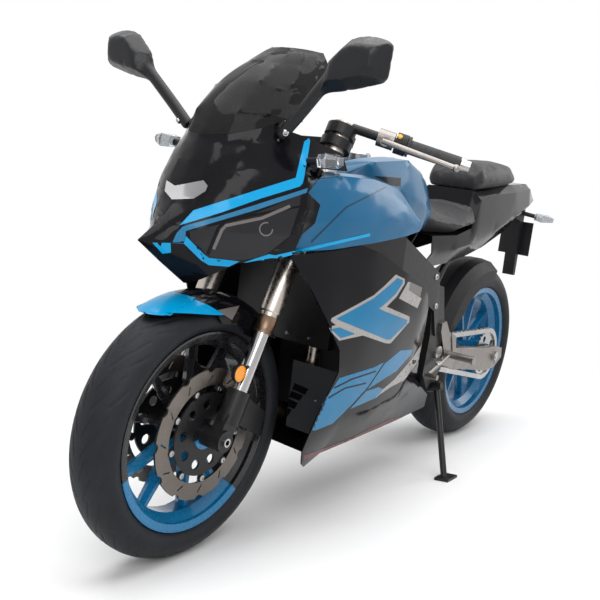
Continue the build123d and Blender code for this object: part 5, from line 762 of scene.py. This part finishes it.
def treaded(node, name, hub, body, columns=540, rows=84, reach=128):
    """The tyre's section, read from the CAD by rays, turned about its hub with the grooves let in."""
    surface = surface_of(node)
    forward, left, up = turned(1, 0, 0), turned(0, 1, 0), turned(0, 0, 1)
    mesh = NODES[node].data
    away = [(NODES[node].matrix_world @ v.co - hub) for v in mesh.vertices]
    outer = max(math.hypot(a.dot(forward), a.dot(up)) for a in away)
    inner = min(math.hypot(a.dot(forward), a.dot(up)) for a in away)
    heart = inner + (outer - inner) * HEART_SHARE
    section = []
    for i in range(rows + 1):
        turn = math.radians(-reach + 2 * reach * i / rows)
        out = up * math.cos(turn) + left * math.sin(turn)
        start = hub + up * heart + out * TYRE_REACH
        hit = surface.ray_cast(start, -out)
        if hit[0] is not None and (hit[0] - start).length < TYRE_REACH:
            section.append(((hit[0] - hub).dot(up), (hit[0] - hub).dot(left), turn))
    radii = np.array([s[0] for s in section])
    widths = np.array([s[1] for s in section])
    turns = np.array([s[2] for s in section])
    steps = np.hypot(np.diff(radii), np.diff(widths))
    girth = np.concatenate([[0], np.cumsum(steps)])
    girth = (girth - np.interp(0, turns, girth)) / MM
    angles = np.linspace(0, math.tau, columns, endpoint=False)
    pitch = math.tau * outer / MM / PITCHES
    along, across = np.meshgrid(angles * outer / MM, girth, indexing="ij")
    depth = groove_depths(along, across, pitch)
    form = bmesh.new()
    grid = []
    for i, angle in enumerate(angles):
        spoke = forward * math.cos(angle) + up * math.sin(angle)
        rank = []
        for j in range(len(section)):
            out = spoke * math.cos(turns[j]) + left * math.sin(turns[j])
            rank.append(form.verts.new(hub + spoke * float(radii[j]) + left * float(widths[j])
                                       - out * float(depth[i, j])))
        grid.append(rank)
    for first, second in zip(grid, grid[1:] + grid[:1]):
        for j in range(len(section) - 1):
            form.faces.new((first[j], first[j + 1], second[j + 1], second[j]))
    bmesh.ops.recalc_face_normals(form, faces=form.faces)
    piece = surfaced(name, form, SURFACES["tyre"], body,
                     mods=[("SOLIDIFY", {"thickness": TYRE_WALL, "offset": -1})])
    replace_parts(piece, node)


treaded("front_tyre", "front_tyre_tread", front_hub, "front_wheel")
treaded("rear_tyre", "rear_tyre_tread", rear_hub, "rear_wheel")


# Fork: bronze collars over the bright tubes, and a reflector on each side

RAKE = math.radians(24.5)
STEER_ROOT, FORK_AHEAD, FORK_SIDE = 1495, 28, 102
FORK_SEGMENTS = 64
COLLAR_BRONZE = finish("collar_bronze", (0.2, 0.13, 0.09), 0.34, metal=1.0, vary=0.08, grain=0.04)
FORK_PARTS = (
    ("fork_collars", "fork_outer_tubes", COLLAR_BRONZE, "bronze_alloy",
     [(18.6, 566), (22.2, 566), (23, 566.8), (23, 569), (22.4, 570), (22.4, 602), (23, 603), (23, 605.2), (22.2, 606),
      (18.6, 606)]),
    ("fork_tubes", "fork_outer_tubes", SURFACES["bronze_alloy"], "bronze_alloy",
     [(18.6, 606), (22, 606), (22, 614), (25, 618), (25.5, 646), (26, 676), (26, 1095), (25, 1096), (18.7, 1096)]),
    ("fork_stanchions", "fork_inner_tubes", SURFACES["chromed_steel"], "chromed_steel",
     [(0, 428), (18.5, 428), (18.5, 760), (0, 760)]),
)
for name, node, material, slot, profile in FORK_PARTS:
    form = bmesh.new()
    for side in (1, -1):
        foot = spot(STEER_ROOT + FORK_AHEAD * math.cos(RAKE), FORK_SIDE * side, FORK_AHEAD * math.sin(RAKE))
        lathed(form, foot, turned(-math.sin(RAKE), 0, math.cos(RAKE)), profile, FORK_SEGMENTS)
    bmesh.ops.recalc_face_normals(form, faces=form.faces)
    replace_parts(surfaced(name, crisp(form), material, "steering"), node)

AMBER = clear("reflector_amber", (0.95, 0.33, 0.01), 0.08, 0.12)
REFLECTOR = (1372, 116, 450)
ARM_BACK, ARM_IN, ARM_UP, ARM_SLOPE = 44, 0.95, 8, -0.18
ARM_PROFILE = [(0, 0), (4, 0), (4, 46), (0, 46)]
CUP_SEGMENTS, ARM_SEGMENTS = 32, 12
left_side = turned(0, 1, 0)
for name, material, profile in (
        ("reflector_cups", SURFACES["matte_black"],
         [(0, -4), (19.5, -4), (20.5, 0), (20.5, 5), (18.5, 6.5), (18.5, 4), (0, 4)]),
        ("reflector_lenses", AMBER, [(0, 4.2), (18.4, 4.2), (18.4, 6), (14, 7.4), (7, 8.2), (0, 8.4)])):
    form = bmesh.new()
    for side in (1, -1):
        place = spot(REFLECTOR[0], REFLECTOR[1] * side, REFLECTOR[2])
        lathed(form, place, left_side * side, profile, CUP_SEGMENTS)
        if name == "reflector_cups":
            root = spot(REFLECTOR[0] - ARM_BACK, REFLECTOR[1] * side * ARM_IN, REFLECTOR[2] + ARM_UP)
            lathed(form, root, turned(1, 0, ARM_SLOPE), ARM_PROFILE, ARM_SEGMENTS)
    bmesh.ops.recalc_face_normals(form, faces=form.faces)
    surfaced(name, crisp(form), material, "steering")
YELLOW = finish("button_yellow", (0.75, 0.4, 0.01), 0.4, vary=0.06)
hardware("horn_button", [(400, 137)], ("switch_pods", "handlebars", "grips", "hand_levers"),
         [(0, -1), (6, -1), (6, 3), (4.6, 4.4), (0, 4.4)], YELLOW, body="steering", both=False)


# Floor, backdrop and light

FADE_START, FADE_END = 1.0, 2.2
WORLD_STRENGTH = 0.5


def seen_white(nodes, links, rest):
    """White where the camera, a reflection or a clear part looks at it, and the rest of the light otherwise."""
    path = nodes.new("ShaderNodeLightPath")
    seen = path.outputs["Is Camera Ray"]
    for way in ("Is Glossy Ray", "Is Transmission Ray"):
        either = nodes.new("ShaderNodeMath")
        either.operation = "MAXIMUM"
        links.new(seen, either.inputs[0])
        links.new(path.outputs[way], either.inputs[1])
        seen = either.outputs["Value"]
    white = nodes.new("ShaderNodeEmission")
    mix = nodes.new("ShaderNodeMixShader")
    links.new(seen, mix.inputs["Fac"])
    links.new(rest, mix.inputs[1])
    links.new(white.outputs["Emission"], mix.inputs[2])
    return mix.outputs["Shader"]


def staged_white():
    """A pale floor that fades to plain white away from the bike, and keeps its shadow."""
    material, nodes, links, shader = tree_of("stage_white")
    cloudy = textured(nodes, links, 3)
    links.new(between(nodes, links, spread(nodes, links, cloudy, 0, 1), (0.88, 0.88, 0.88), (0.9, 0.9, 0.9)),
              shader.inputs["Base Color"])
    shader.inputs["Roughness"].default_value = 0.9
    shader.inputs["Specular IOR Level"].default_value = 0.1
    place = nodes.new("ShaderNodeTexCoord")
    reach = nodes.new("ShaderNodeVectorMath")
    reach.operation = "LENGTH"
    links.new(place.outputs["Object"], reach.inputs[0])
    fade = nodes.new("ShaderNodeMixShader")
    links.new(spread(nodes, links, reach.outputs["Value"], 0, 1, FADE_START, FADE_END), fade.inputs["Fac"])
    links.new(shader.outputs["BSDF"], fade.inputs[1])
    links.new(seen_white(nodes, links, shader.outputs["BSDF"]), fade.inputs[2])
    links.new(fade.outputs["Shader"], nodes["Material Output"].inputs["Surface"])
    return material


def stage():
    """A floor that curves up into a backdrop behind the bike, as the camera sees it."""
    size, rise, far = 9.0, 6.0, 5.0
    bend = rise / 3
    mesh = bpy.data.meshes.new("floor")
    form = bmesh.new()
    rows = [(-size, 0)]
    steps = 14
    for i in range(steps + 1):
        turn = math.radians(90 * i / steps)
        rows.append((far + bend * math.sin(turn), bend * (1 - math.cos(turn))))
    rows.append((far + bend, rise))
    away = Vector((gaze.x, gaze.y, 0)).normalized()
    side = Vector((-away.y, away.x, 0))
    ranks = [[form.verts.new(away * a + side * s + Vector((0, 0, z))) for s in (-size, size)]
             for a, z in rows]
    for low, high in zip(ranks, ranks[1:]):
        form.faces.new((low[0], low[1], high[1], high[0])).smooth = True
    form.to_mesh(mesh)
    form.free()
    floor = bpy.data.objects.new("floor", mesh)
    mesh.materials.append(staged_white())
    bpy.context.scene.collection.objects.link(floor)


def lamp(name, place, aim, size, power):
    """A flat lamp at a place, turned to its aim."""
    data = bpy.data.lights.new(name, "AREA")
    data.shape = "RECTANGLE"
    data.size, data.size_y = size
    data.energy = power
    light = bpy.data.objects.new(name, data)
    light.location = place
    light.rotation_mode = "QUATERNION"
    light.rotation_quaternion = (Vector(aim) - Vector(place)).to_track_quat("-Z", "Y")
    bpy.context.scene.collection.objects.link(light)


stage()
lamp("sky_panel", (0.3, 0.3, 3.4), (0, 0, 0.3), (4.4, 3.4), 150)
lamp("key_panel", (2.8, 2.4, 2.2), (0.1, 0, 0.5), (2.2, 1.6), 45)
lamp("rear_panel", (-3.0, 1.8, 2.2), (-0.2, 0, 0.6), (2.0, 1.6), 30)
world = bpy.data.worlds.new("studio")
world.use_nodes = True
air = world.node_tree
backing = air.nodes["Background"]
backing.inputs["Color"].default_value = (1, 1, 1, 1)
backing.inputs["Strength"].default_value = WORLD_STRENGTH
air.links.new(seen_white(air.nodes, air.links, backing.outputs["Background"]),
              air.nodes["World Output"].inputs["Surface"])
bpy.context.scene.world = world
bpy.context.scene.view_settings.view_transform = "Standard"

bpy.context.view_layer.update()
